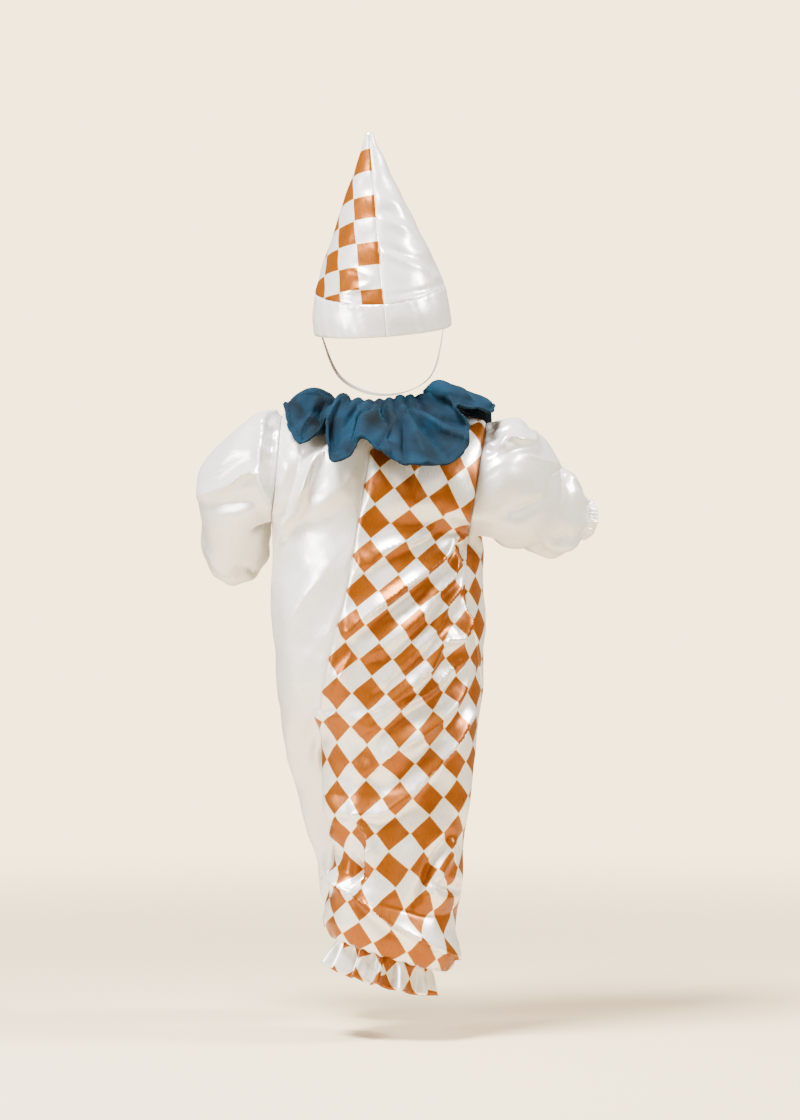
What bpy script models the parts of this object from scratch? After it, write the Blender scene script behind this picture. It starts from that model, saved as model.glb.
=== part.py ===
# Toddler's clown costume, worn and walking, seen from behind: a two-colour romper, a velvet ruff and a cone hat.
# Row frame: origin in the middle of the neck opening, +Z up, +Y the way the wearer faces, +X the wearer's right.
# Tables and sizes are in millimetres, and the meshes are made in metres.

import math

import bmesh
import bpy
import numpy as np
from mathutils import Matrix, Vector, kdtree

MM = 0.001
SATIN = 1.5          # wall of the satin panels, sleeves and cone
BAND = 2.4           # the hat band is folded cloth
VELVET = 2.6         # the ruff is two layers of velvet
SEAM = 0.3           # gap between two pieces at a seam
WELD = 0.01          # points this close are the same point of a seam

NECK = dict(x=-0.5, half_width=46.5, half_depth=44.5, height=-6.0, back_rise=5.0, tilt=0.07, back_seam=-7.0, front_seam=175.0)
NECK_SHARE = 0.4     # share of a panel's top edge that is neckline; the rest is shoulder seam
SHOULDER = dict(right=(101.0, 0.0, -20.0), left=(-109.0, 2.0, -12.0))
ARMHOLE_DEPTH = dict(right=44.0, left=46.0)
BLADE_BULGE = 13.0   # how far the upper back and chest stand out between neck and armhole
ELASTIC_ROW = 622.0  # distance down the leg cloth at which the hem is gathered


def table(columns, *rows):
    """Named columns over the rows."""
    return dict(zip(columns.split(), np.array(rows, float).T))


# One row for each section of the trunk. v is the distance down the cloth, angles run from the back towards +X.
TRUNK = table(
    "v    z     x      y   half_width half_depth roll  back  right front  left",
    (130, -130, -12.0, -2, 107.5, 82, -0.07, -10, 62, 178, -86),
    (165, -168, -10.5, -2, 108.5, 87, -0.04, -14, 57, 178, -88),
    (200, -204, -10.5, -1, 109.5, 91, 0.00, -18, 56, 177, -90),
    (243, -245, -8.5, 0, 108.5, 93, 0.00, -26, 66, 176, -95),
    (295, -297, -8.5, 1, 105.5, 92, 0.00, -34, 84, 180, -104),
)
# One row for each section of a leg. The first two are the seat, where both legs still share the centre seams.
RIGHT_LEG = table(
    "v    z     x    y    half_width half_depth roll   pitch  inseam side front",
    (350, -347, 10, -18, 81, 74, 0.00, 0.00, -72, 91, 195),
    (405, -400, 13, -36, 72, 51, 0.00, 0.00, -140, 92, 220),
    (455, -450, 12, -34, 66, 55, 0.00, 0.00, -126, 92, 234),
    (500, -492, 9, -33, 67, 60, -0.03, 0.00, -112, 92, 248),
    (540, -528, 2, -32, 67, 61, -0.16, 0.00, -104, 92, 256),
    (568, -550, 2, -32, 68, 61, -0.26, 0.00, -100, 92, 260),
    (590, -564, 1, -32, 61, 55, -0.30, 0.00, -100, 92, 260),
    (606, -562, -1, -32, 50, 45, -0.30, 0.00, -100, 92, 260),
    (622, -552, -2, -32, 40, 37, -0.30, 0.00, -100, 92, 260),
)
LEFT_LEG = table(
    "v    z     x    y   half_width half_depth roll  pitch inseam side  front",
    (350, -347, -28, 26, 80, 70, 0.00, 0.05, -30, -110, -215),
    (405, -400, -40, 73, 57, 55, 0.00, 0.12, 4, -122, -356),
    (455, -440, -34, 91, 54, 50, 0.00, 0.26, 18, -118, -342),
    (500, -474, -26, 103, 50, 48, 0.05, 0.30, 35, -112, -325),
    (540, -500, -21, 110, 51, 49, 0.08, 0.25, 45, -106, -315),
    (568, -514, -20, 112, 50, 48, 0.08, 0.20, 50, -102, -310),
    (590, -523, -20, 112, 45, 43, 0.08, 0.20, 50, -102, -310),
    (606, -521, -20, 112, 39, 38, 0.08, 0.20, 50, -102, -310),
    (622, -512, -20, 112, 33, 33, 0.08, 0.20, 50, -102, -310),
)
# The centre seams as they come down to the crotch, between a leg that is forward and one that is back.
SEAT_SEAMS = table(
    "v  back_x back_y back_z front_x front_y z",
    (350, -69, -44, -340, 4, 70, -337),
    (378, -64, -18, -371, -2, 34, -369),
    (392, -52, 2, -389, -17, 16, -388),
    (405, -36, 10.5, -403, -36, 10.5, -403),
)

# One row for each ring of a sleeve: its centre, how far it reaches upwards and sideways, and how deep its gathers are.
# hold is how much a ring still faces as its armhole does.
RIGHT_SLEEVE = table(
    "v    x    y    z    up across gather hold",
    (20, 115, -20, -78, 64, 47, 0.9, 0.95),
    (60, 129, 4, -86, 64, 44, 0.0, 0.45),
    (105, 143, 40, -96, 59, 41, 0.0, 0.15),
    (123, 152, 59, -107, 45, 36, 0.3, 0.05),
    (148, 165, 80, -111, 49, 38, 0.8, 0.00),
    (190, 184, 110, -118, 38, 32, 1.8, 0.00),
    (212, 201, 124, -120, 21, 20, 2.4, 0.00),
    (228, 211, 132, -121, 27, 26, 4.0, 0.00),
)
LEFT_SLEEVE = table(
    "v    x     y    z     up across gather hold",
    (20, -132, -3, -69, 57, 44, 0.9, 0.90),
    (60, -159, 22, -95, 54, 38, 0.0, 0.20),
    (105, -158, 58, -123, 52, 36, 0.0, 0.00),
    (148, -160, 92, -139, 54, 36, 0.6, 0.00),
    (190, -157, 122, -147, 38, 31, 1.8, 0.00),
    (212, -155, 137, -150, 21, 20, 2.4, 0.00),
    (228, -154, 151, -153, 27, 26, 4.0, 0.00),
)
CUFF_GATHERS = 10

# Folds of the checked back: from one place on the cloth to another, with half width and height, hollows negative.
# across is the share of the panel from the centre seam to the side seam.
BACK_RIGHT_FOLDS = table(
    "across_a v_a across_b v_b  width height",
    (0.95, 142, 0.20, 212, 11, 5.0),
    (0.95, 150, 0.12, 248, 12, 6.0),
    (0.96, 160, 0.12, 288, 13, 6.0),
    (0.97, 172, 0.22, 330, 15, 6.0),
    (0.97, 196, 0.48, 350, 14, 5.0),
    (0.90, 330, 0.45, 430, 18, 6.0),
    (0.85, 400, 0.45, 470, 15, 5.0),
    (0.36, 440, 0.38, 505, 13, -9.0),
    (0.20, 470, 0.62, 556, 15, 8.0),
    (0.86, 455, 0.74, 520, 12, -7.0),
    (0.90, 500, 0.66, 545, 13, 6.0),
)
BACK_LEFT_FOLDS = table(
    "across_a v_a across_b v_b  width height",
    (0.75, 60, 0.82, 175, 15, 6.0),
    (0.30, 90, 0.70, 190, 18, 4.0),
    (0.25, 240, 0.75, 330, 22, 4.0),
    (0.55, 330, 0.35, 430, 18, -5.0),
    (0.80, 430, 0.40, 520, 14, 5.0),
)
FRONT_RIGHT_FOLDS = table(
    "across_a v_a across_b v_b  width height",
    (0.90, 150, 0.35, 250, 16, 6.0),
    (0.92, 180, 0.35, 320, 18, 5.0),
    (0.70, 400, 0.35, 500, 16, -6.0),
    (0.80, 500, 0.25, 560, 15, 7.0),
)
FRONT_LEFT_FOLDS = table(
    "across_a v_a across_b v_b  width height",
    (0.90, 150, 0.40, 260, 17, 6.0),
    (0.85, 260, 0.40, 340, 18, 5.0),
    (0.75, 430, 0.30, 500, 16, -6.0),
    (0.70, 510, 0.30, 560, 14, 6.0),
)

# The frill under each hem elastic: rings from the elastic down, with the depth of its waves.
RIGHT_FRILL = table(
    "x    y    z     half_width half_depth roll  wave",
    (-2, -32, -553, 38.7, 35.7, -0.30, 0.5),
    (-5, -33, -573, 45, 42, -0.29, 3.2),
    (-9, -34, -591, 52, 49, -0.28, 4.6),
)
LEFT_FRILL = table(
    "x    y    z     half_width half_depth roll wave",
    (-20, 112, -513, 31.6, 31.6, 0.08, 0.5),
    (-20, 113, -530, 38, 37, 0.08, 2.8),
    (-20, 115, -546, 45, 44, 0.08, 4.4),
)
FRILL_PITCH = dict(right=0.0, left=0.2)
FRILL_WAVES = 13
COLUMNS_PER_WAVE = 4

# Outer edge of the ruff, a row for each crest and hollow: bearing from the back towards +X, reach from the neck's
# axis, height, and how far the cloth rises first. Where the bearing runs back, one wave lies over the next.
RUFF_EDGE = table(
    "bearing reach height rise",
    (2, 119, -63, 3),
    (14, 123, -69, 4),
    (30, 125, -66, 8),
    (43, 121, -44, 14),
    (45, 112, -26, 16),
    (42, 104, -9, 16),
    (56, 108, -10, 18),
    (70, 113, -13, 17),
    (80, 111, -8, 13),
    (93, 106, -11, 10),
    (106, 110, -28, 7),
    (120, 108, -38, 6),
    (132, 102, -22, 9),
    (144, 98, -13, 10),
    (156, 101, -30, 7),
    (168, 106, -44, 4),
    (182, 106, -44, 4),
    (194, 100, -26, 8),
    (205, 98, -14, 10),
    (217, 102, -32, 7),
    (230, 107, -42, 6),
    (243, 105, -28, 10),
    (254, 101, -9, 14),
    (265, 105, -5, 14),
    (277, 108, -4, 15),
    (289, 111, -13, 18),
    (300, 115, -33, 18),
    (309, 114, -47, 13),
    (317, 106, -36, 11),
    (321, 99, -18, 12),
    (326, 106, -44, 8),
    (333, 120, -66, 5),
    (341, 116, -60, 4),
    (346, 107, -42, 4),
    (354, 110, -50, 3),
)
RUFF_COLUMNS = 104
RUFF_ROWS = 5
RUFF_GATHERS = 26
RUFF_TUCK = 1.1      # depth of the gathers where the ruff is sewn to the neck
RUFF_START = 0.9     # height of its sewn edge above the neckline's edge, over the half wall and the seam gap

HAT_ORIGIN = (-5.7, 8.0, 74.5)   # middle of the band's lower edge
HAT_LEAN = 7.5                   # degrees, back
HAT_TILT = -3.9                  # degrees, towards the wearer's left
HAT_SEAM = 3.0                   # bearing of the back seam
HAT_DIP = 9.0                    # how much lower the seam of cone and band sits at the back and front than at the ears
HAT_DIP_FADE = 90.0              # height over which the cone evens that out
BAND_TOP = 42.0                  # height of that seam at the ears
HAT_BAND = table(
    "height half_width half_depth",
    (0.0, 71.6, 83.0),
    (21.0, 70.4, 82.0),
    (42.0, 67.6, 79.0),
)
HAT_CONE = table(
    "height half_width half_depth",
    (42.0, 67.6, 79.0),
    (54.0, 63.4, 73.5),
    (84.0, 51.5, 59.0),
    (120.0, 36.5, 41.0),
    (165.0, 18.0, 20.0),
    (190.0, 8.0, 8.4),
    (199.0, 4.8, 4.8),
    (203.0, 3.6, 3.6),
    (204.2, 1.8, 1.8),
)
ELASTIC_WIDTH = 4.0
ELASTIC_THICK = 1.0
ELASTIC_TWIST = 40.0                     # degrees it turns along the jaw
ELASTIC_ANCHOR = (66.7, 6.0, 9.0)        # inside the band, in the hat's own frame, at each side
ELASTIC_SIDE = (44.0, 36.0, 24.0)        # beside the jaw
ELASTIC_CHIN = (-3.0, 64.0, 9.0)         # under the chin

CROTCH_FADE = 90.0   # distance below the crotch over which the legs part
CROTCH_NORMAL = (-0.12, -0.15, -0.98)    # the way the cloth faces where the four panels meet, between the legs
SLEEVE_HEAD = 9.0    # distance from the armhole to a sleeve's first ring
SLEEVE_ROWS = 9
ARMHOLE_ROWS = 10
TRUNK_ROWS = 15
LEG_ROWS = 12
NECK_COLUMNS = 8     # columns of the checked back that end at the neckline
PANEL_COLUMNS = dict(back_right=20, back_left=10, front_right=10, front_left=10)


def spline(knots, values, at):
    """A smooth curve through values at the knots, with finite-difference tangents; values may be points or curves."""
    knots, values, at = np.asarray(knots, float), np.asarray(values, float), np.atleast_1d(at)
    steps = np.diff(knots)
    shape = (-1,) + (1,) * (values.ndim - 1)
    slopes = np.diff(values, axis=0) / steps.reshape(shape)
    tangents = np.empty_like(values)
    tangents[0], tangents[-1] = slopes[0], slopes[-1]
    before, after = steps[:-1].reshape(shape), steps[1:].reshape(shape)
    tangents[1:-1] = (slopes[:-1] * after + slopes[1:] * before) / (before + after)
    i = np.clip(np.searchsorted(knots, at, side="right") - 1, 0, len(steps) - 1)
    h = steps[i].reshape(shape)
    t = ((at - knots[i]) / steps[i]).reshape(shape)
    return (
        (2 * t**3 - 3 * t**2 + 1) * values[i]
        + (t**3 - 2 * t**2 + t) * h * tangents[i]
        + (3 * t**2 - 2 * t**3) * values[i + 1]
        + (t**3 - t**2) * h * tangents[i + 1]
    )


def smooth_step(t):
    t = np.clip(t, 0, 1)
    return t * t * (3 - 2 * t)


def arc(row, angle_from, angle_to, share):
    """Points of an elliptical section between two bearings, at shares of the way."""
    bearing = np.radians(angle_from + (angle_to - angle_from) * share)
    dx = row["half_width"] * np.sin(bearing)
    dy = -row["half_depth"] * np.cos(bearing)
    dz = row.get("roll", 0) * dx + row.get("pitch", 0) * dy
    return np.stack([row["x"] + dx, row["y"] + dy, row["z"] + dz], axis=-1)


def rows_of(columns):
    return [{name: values[i] for name, values in columns.items()} for i in range(len(columns["z"]))]


def neck_point(bearing):
    """A point of the neckline."""
    a = np.radians(bearing)
    x = NECK["x"] + NECK["half_width"] * np.sin(a)
    y = -NECK["half_depth"] * np.cos(a)
    return np.stack([x, y, NECK["height"] + NECK["back_rise"] * np.cos(a) + NECK["tilt"] * x], axis=-1)


def armhole(side, face, share):
    """The back or front half of an armhole, from the shoulder seam down to the underarm."""
    top = np.array(SHOULDER[side])
    under = arc(rows_of(TRUNK)[0], TRUNK[side][0], TRUNK[side][0], np.zeros(1))[0]
    turn = np.pi * np.asarray(share)[..., None]
    out = np.array([0, -ARMHOLE_DEPTH[side] if face == "back" else ARMHOLE_DEPTH[side], 0])
    return (top + under) / 2 + np.cos(turn) * (top - under) / 2 + np.sin(turn) * out


def section_angles(side, face, row):
    """Bearings of a trunk section's centre seam and side seam for one panel."""
    centre = row[face]
    if face == "front" and side == "left":
        centre -= 360
    return centre, row[side]


def shoulder_stations(side, face, across):
    """Curves of a panel from its neckline and shoulder seam down to the underarm, at quarters of the armhole."""
    right, back = side == "right", face == "back"
    seam = NECK["back_seam"] if back else NECK["front_seam"]
    if not back and not right:
        seam -= 360
    shoulder_bearing = 90 if right else (-90 if back else -270 + 180)
    neck = neck_point(seam + (shoulder_bearing - seam) * np.minimum(across / NECK_SHARE, 1))
    tip = np.array(SHOULDER[side])
    along = np.clip((across - NECK_SHARE) / (1 - NECK_SHARE), 0, 1)[:, None]
    top = np.where(across[:, None] < NECK_SHARE, neck, neck[-1] + (tip - neck[-1]) * along)
    first = rows_of(TRUNK)[0]
    low = arc(first, *section_angles(side, face, first), across)
    centre = np.array([top[0], low[0]])
    outward = np.array([0, -1.0 if back else 1.0, 0.3])
    stations = [top]
    for share in (0.25, 0.5, 0.75):
        edge = armhole(side, face, np.array([share]))[0]
        drop = share**1.25
        spine = centre[0] + (centre[1] - centre[0]) * np.array([share, math.sin(share * math.pi / 2), drop])
        plain = top + (low - top) * np.array([share, share, drop])
        fit_centre = spine - plain[0]
        fit_edge = edge - plain[-1]
        bulge = 4 * across * (1 - across) * math.sin(math.pi * share) * BLADE_BULGE
        stations.append(
            plain + (1 - across)[:, None] * fit_centre + across[:, None] * fit_edge + bulge[:, None] * outward
        )
    return stations


def panel_surface(side, face, across, down):
    """One panel's outer surface as rows of points: shoulder, trunk and leg, cut in one."""
    stations = shoulder_stations(side, face, across)
    knots = [0, 32.5, 65, 97.5]
    for row in rows_of(TRUNK):
        stations.append(arc(row, *section_angles(side, face, row), across))
        knots.append(row["v"])
    for row in rows_of(RIGHT_LEG if side == "right" else LEFT_LEG):
        start = row["inseam"] if face == "back" else row["front"]
        stations.append(arc(row, start, row["side"], across))
        knots.append(row["v"])
    return spline(knots, np.array(stations), down)


def join_seams(panels, down, crotch):
    """Panels that are sewn to each other are drawn to one line: the centre seams, the inseams and the side seams."""
    lowest = int(np.argmin(abs(down - crotch)))
    first = {name: points[:, 0].copy() for name, points in panels.items()}
    last = {name: points[:, -1].copy() for name, points in panels.items()}
    seat = {
        face: np.stack([spline(SEAT_SEAMS["v"], SEAT_SEAMS[key], down) for key in keys], axis=-1)
        for face, keys in (("back", ("back_x", "back_y", "back_z")), ("front", ("front_x", "front_y", "z")))
    }
    crotch_point = seat["back"][lowest]
    for name, points in panels.items():
        face, side = name.split("_")
        other_side = f"{face}_{'left' if side == 'right' else 'right'}"
        other_face = f"{'front' if face == 'back' else 'back'}_{side}"
        share = np.linspace(0, 1, points.shape[1])[:, None]
        leg_top = (first[name][lowest] + first[other_face][lowest]) / 2
        for row, v in enumerate(down):
            if row < lowest:
                near = smooth_step((v - SEAT_SEAMS["v"][0] + 40) / 50)
                target = (first[name][row] + first[other_side][row]) / 2 * (1 - near) + seat[face][row] * near
            else:
                fade = 1 - smooth_step((v - crotch) / CROTCH_FADE)
                target = (first[name][row] + first[other_face][row]) / 2 + (crotch_point - leg_top) * fade
            points[row] += (target - first[name][row]) * (1 - share) ** 4
            if row >= ARMHOLE_ROWS:
                target = (last[name][row] + last[other_face][row]) / 2
                points[row] += (target - last[name][row]) * share**4


def grid_normals(points, around=False):
    """Unit normals of a sheet of points, by differences along its rows and columns."""
    if around:
        along = np.roll(points, -1, axis=1) - np.roll(points, 1, axis=1)
    else:
        along = np.gradient(points, axis=1)
    normal = np.cross(along, np.gradient(points, axis=0))
    return normal / np.maximum(np.linalg.norm(normal, axis=-1, keepdims=True), 1e-9)


def fold_heights(folds, width_mm, across, down):
    """Height of a panel's soft ridges and hollows at each point. They fade out at the seams."""
    u, v = np.meshgrid(across, down)
    height = np.zeros_like(u)
    for i in range(len(folds["width"])):
        a = np.array([folds["across_a"][i] * width_mm, folds["v_a"][i]])
        b = np.array([folds["across_b"][i] * width_mm, folds["v_b"][i]])
        along = ((u * width_mm - a[0]) * (b - a)[0] + (v - a[1]) * (b - a)[1]) / np.dot(b - a, b - a)
        t = np.clip(along, 0, 1)
        away = np.hypot(u * width_mm - a[0] - t * (b - a)[0], v - a[1] - t * (b - a)[1])
        taper = 0.35 + 0.65 * np.sin(np.pi * np.clip(t, 0.04, 0.96))
        height += folds["height"][i] * taper * np.exp(-((away / folds["width"][i]) ** 2))
    return height * smooth_step(u / 0.12) * smooth_step((1 - u) / 0.12)


def sleeve_surface(side, rim, knots_down):
    """A sleeve's outer surface: from the armhole's own points, through its rings, to the frill past the elastic."""
    rings = RIGHT_SLEEVE if side == "right" else LEFT_SLEEVE
    centres = np.stack([rings["x"], rings["y"], rings["z"]], axis=-1)
    path = np.vstack([rim.mean(axis=0), centres])
    tangents = np.gradient(path, axis=0)[1:]
    tangents /= np.linalg.norm(tangents, axis=1, keepdims=True)
    quarter = len(rim) // 4
    upward = (rim[0] - rim[2 * quarter]) / np.linalg.norm(rim[0] - rim[2 * quarter])
    facing = np.cross(rim[quarter] - rim[3 * quarter], upward) * (-1 if side == "right" else 1)
    facing /= np.linalg.norm(facing)
    turn = np.linspace(0, 2 * np.pi, len(rim), endpoint=False)
    stations = [rim]
    for i, tangent in enumerate(tangents):
        tangent = tangent * (1 - rings["hold"][i]) + facing * rings["hold"][i]
        tangent /= np.linalg.norm(tangent)
        up = upward - tangent * np.dot(upward, tangent)
        up /= np.linalg.norm(up)
        outer = np.cross(tangent, up) if side == "right" else np.cross(up, tangent)
        gather = 1 + rings["gather"][i] * np.cos(CUFF_GATHERS * turn) / rings["up"][i]
        stations.append(
            centres[i]
            + np.outer(rings["up"][i] * np.cos(turn) * gather, up)
            + np.outer(rings["across"][i] * np.sin(turn) * gather, outer)
        )
    return spline([0, *rings["v"]], np.array(stations), knots_down)


def frill_surface(rings, pitch):
    """A gathered frill: rings whose radius waves, deeper towards the free edge."""
    columns = FRILL_WAVES * COLUMNS_PER_WAVE
    turn = np.linspace(0, 2 * np.pi, columns, endpoint=False)
    rows = []
    for row in rows_of(rings):
        wave = row["wave"] * np.cos(FRILL_WAVES * turn)
        dx = (row["half_width"] + wave) * np.sin(turn)
        dy = -(row["half_depth"] + wave) * np.cos(turn)
        dz = row["roll"] * dx + pitch * dy + 0.25 * wave
        rows.append(np.stack([row["x"] + dx, row["y"] + dy, row["z"] + dz], axis=-1))
    return np.array(rows)


def ruff_surface():
    """The ruff: from the gathered neckline, over a soft roll, out to an edge that waves up and down."""
    bearing = np.radians(RUFF_EDGE["bearing"])
    edge = np.stack(
        [RUFF_EDGE["reach"] * np.sin(bearing), -RUFF_EDGE["reach"] * np.cos(bearing), RUFF_EDGE["height"]], axis=-1
    )
    loop = np.vstack([edge[-2:], edge, edge[:3]])
    length = np.concatenate([[0], np.cumsum(np.linalg.norm(np.diff(loop, axis=0), axis=1))])
    start, end = length[2], length[2 + len(edge)]
    share = np.linspace(0, 1, RUFF_COLUMNS, endpoint=False)
    outer = spline(length, loop, start + (end - start) * share)
    rises = np.concatenate([RUFF_EDGE["rise"][-2:], RUFF_EDGE["rise"], RUFF_EDGE["rise"][:3]])
    rise = spline(length, rises, start + (end - start) * share)
    unwound = np.unwrap(np.arctan2(outer[:, 0], -outer[:, 1]))
    even = unwound[0] + 2 * np.pi * share
    root_bearing = np.degrees(0.8 * even + 0.2 * unwound)
    root = neck_point(root_bearing)
    tuck = RUFF_TUCK * np.cos(2 * np.pi * RUFF_GATHERS * share)
    rows = []
    for r in np.linspace(0, 1, RUFF_ROWS):
        base = root + (outer - root) * smooth_step(0.15 + 0.85 * r) if r > 0 else root.copy()
        base[:, 2] += rise * math.sin(math.pi * min(r * 1.25, 1)) * (1 - 0.2 * r)
        base[:, 2] += RUFF_START + (VELVET / 2 + SEAM) + tuck * (1 - smooth_step(2.5 * r))
        rows.append(base)
    return np.array(rows)


def hat_matrix():
    lean = Matrix.Rotation(math.radians(HAT_LEAN), 4, "X")
    tilt = Matrix.Rotation(math.radians(HAT_TILT), 4, "Y")
    return Matrix.Translation(Vector(HAT_ORIGIN)) @ tilt @ lean


def hat_surface(profile, heights, bearings):
    """Rings of the hat at these heights and bearings, turned to how the hat sits."""
    width = spline(profile["height"], profile["half_width"], heights)[:, None]
    depth = spline(profile["height"], profile["half_depth"], heights)[:, None]
    a = np.radians(bearings)[None, :]
    above = smooth_step((heights - BAND_TOP) / HAT_DIP_FADE)
    share = np.where(heights < BAND_TOP, heights / BAND_TOP, 1 - above)[:, None]
    level = heights[:, None] - HAT_DIP * share * np.cos(a) ** 2
    points = np.stack([width * np.sin(a), -depth * np.cos(a), level], axis=-1)
    m = np.array(hat_matrix())
    return points @ m[:3, :3].T + m[:3, 3]


def sheet_faces(points, around, flip):
    """Triangles of a sheet, each quad cut along its shorter diagonal."""
    rows, columns = points.shape[:2]
    flat = points.reshape(-1, 3)
    faces = []
    for i in range(rows - 1):
        for j in range(columns if around else columns - 1):
            k = (j + 1) % columns
            a, b, c, d = i * columns + j, i * columns + k, (i + 1) * columns + k, (i + 1) * columns + j
            if np.linalg.norm(flat[a] - flat[c]) < np.linalg.norm(flat[b] - flat[d]):
                pair = [(a, b, c), (a, c, d)]
            else:
                pair = [(a, b, d), (b, c, d)]
            faces += [face[::-1] for face in pair] if flip else pair
    return faces


def own_normals(points, around, flip):
    """Unit normals at a sheet's points, from its own faces."""
    flat = points.reshape(-1, 3)
    faces = np.array(sheet_faces(points, around, flip))
    corner = flat[faces]
    across = np.cross(corner[:, 1] - corner[:, 0], corner[:, 2] - corner[:, 0])
    normals = np.zeros_like(flat)
    for i in range(3):
        np.add.at(normals, faces[:, i], across)
    return normals / np.maximum(np.linalg.norm(normals, axis=1, keepdims=True), 1e-9)


def seam_normals(sheets):
    """Normals at each sheet's points. Where sheets are sewn they take one between them, so their rims are parallel."""
    flat = {name: sheet[0].reshape(-1, 3) for name, sheet in sheets.items()}
    own = np.vstack([own_normals(*sheet) for sheet in sheets.values()])
    everywhere = np.vstack(list(flat.values()))
    tree = kdtree.KDTree(len(everywhere))
    for i, point in enumerate(everywhere):
        tree.insert(point, i)
    tree.balance()
    found = {}
    for name, points in flat.items():
        shared = np.array([own[[i for _, i, _ in tree.find_range(p, WELD)]].sum(axis=0) for p in points])
        shared /= np.maximum(np.linalg.norm(shared, axis=1, keepdims=True), 1e-9)
        found[name] = shared.reshape(sheets[name][0].shape)
    return found


def even_out(normals, odd):
    """Where a neighbour has no point of its own, a seam point takes the normal between the points beside it."""
    between = normals[odd - 1] + normals[(odd + 1) % len(normals)]
    normals[odd] = between / np.linalg.norm(between, axis=-1, keepdims=True)


def edge_steps(line, beside, normals, around):
    """Unit steps from an edge into its own sheet, square to the edge and to the normals."""
    if around:
        ends = np.roll(line, -1, axis=0), line
        normal = np.roll(normals, -1, axis=0) + normals
        inward = np.roll(beside - line, -1, axis=0) + beside - line
    else:
        ends = line[1:], line[:-1]
        normal = normals[1:] + normals[:-1]
        inward = (beside - line)[1:] + (beside - line)[:-1]
    step = np.cross(ends[0] - ends[1], normal)
    step /= np.maximum(np.linalg.norm(step, axis=-1, keepdims=True), 1e-9)
    step *= np.sign(np.sum(step * inward, axis=-1, keepdims=True))
    if around:
        mean = (step + np.roll(step, 1, axis=0)) / 2
    else:
        mean = (np.vstack([step[:1], step]) + np.vstack([step, step[-1:]])) / 2
    return mean * np.minimum(1 / np.sum(mean**2, axis=-1, keepdims=True), 2)


def draw_in(layers, normals, edges, around):
    """Both faces of a wall, drawn in by half the seam gap along the named edges."""
    points = layers[0].copy()
    places = {
        "top": (np.s_[0], np.s_[1]),
        "bottom": (np.s_[-1], np.s_[-2]),
        "first": (np.s_[:, 0], np.s_[:, 1]),
        "last": (np.s_[:, -1], np.s_[:, -2]),
    }
    for edge in edges:
        here, beside = places[edge]
        step = edge_steps(points[here], points[beside], normals[here], around)
        for layer in layers:
            layer[here] += step * SEAM / 2
    return layers


def cloth(name, sheet, normals, wall, material, edges=()):
    """A closed wall of cloth: the outer sheet, an inner one below it, and the rims between them."""
    points, around, flip = sheet
    outer, inner = draw_in([points.copy(), points - normals * wall], normals, edges, around)
    rows, columns = points.shape[:2]
    count = rows * columns
    faces = sheet_faces(points, around, flip)
    faces += [tuple(i + count for i in face[::-1]) for face in faces]
    loops = [
        [(0, j) for j in range(columns)],
        [(rows - 1, columns - 1 - j) for j in range(columns)],
    ]
    if around:
        loops = [loop + loop[:1] for loop in loops]
    else:
        loops += [[(rows - 1 - i, 0) for i in range(rows)], [(i, columns - 1) for i in range(rows)]]
    for loop in loops:
        index = [i * columns + j for i, j in loop]
        for a, b in zip(index, index[1:]):
            rim = [(b, a, a + count), (b, a + count, b + count)]
            faces += [face[::-1] for face in rim] if flip else rim
    mesh = bpy.data.meshes.new(name)
    mesh.from_pydata([Vector(p) * MM for p in np.vstack([outer.reshape(-1, 3), inner.reshape(-1, 3)])], [], faces)
    mesh.materials.append(material)
    mesh.validate()
    mesh.shade_smooth()
    obj = bpy.data.objects.new(name, mesh)
    return obj


def strap(name, path, width_axis, material):
    """A flat elastic swept along a path, as wide as width_axis says."""
    axis = width_axis / np.linalg.norm(width_axis)
    along = np.gradient(path, axis=0)
    along /= np.linalg.norm(along, axis=1, keepdims=True)
    flat = np.cross(along, axis)
    flat /= np.linalg.norm(flat, axis=1, keepdims=True)
    wide = np.cross(flat, along)
    twist = math.radians(ELASTIC_TWIST) * np.sin(np.linspace(0, 2 * math.pi, len(path)))[:, None]
    wide, flat = wide * np.cos(twist) + flat * np.sin(twist), flat * np.cos(twist) - wide * np.sin(twist)
    mesh = bmesh.new()
    rings = []
    for p, a, b in zip(path, wide * ELASTIC_WIDTH / 2, flat * ELASTIC_THICK / 2):
        rings.append([mesh.verts.new((p + s * a + t * b) * MM) for s, t in ((-1, -1), (1, -1), (1, 1), (-1, 1))])
    for near, far in zip(rings, rings[1:]):
        for i in range(4):
            k = (i + 1) % 4
            mesh.faces.new((near[i], near[k], far[k], far[i]))
    mesh.faces.new(rings[0][::-1])
    mesh.faces.new(rings[-1])
    bmesh.ops.recalc_face_normals(mesh, faces=mesh.faces)
    data = bpy.data.meshes.new(name)
    mesh.to_mesh(data)
    mesh.free()
    data.materials.append(material)
    return bpy.data.objects.new(name, data)


def cloth_material(name, rgb, roughness):
    material = bpy.data.materials.new(name)
    material.use_nodes = True
    shader = material.node_tree.nodes["Principled BSDF"]
    shader.inputs["Base Color"].default_value = (*rgb, 1)
    shader.inputs["Roughness"].default_value = roughness
    shader.inputs["Metallic"].default_value = 0
    material.diffuse_color = (*rgb, 1)
    return material


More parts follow.
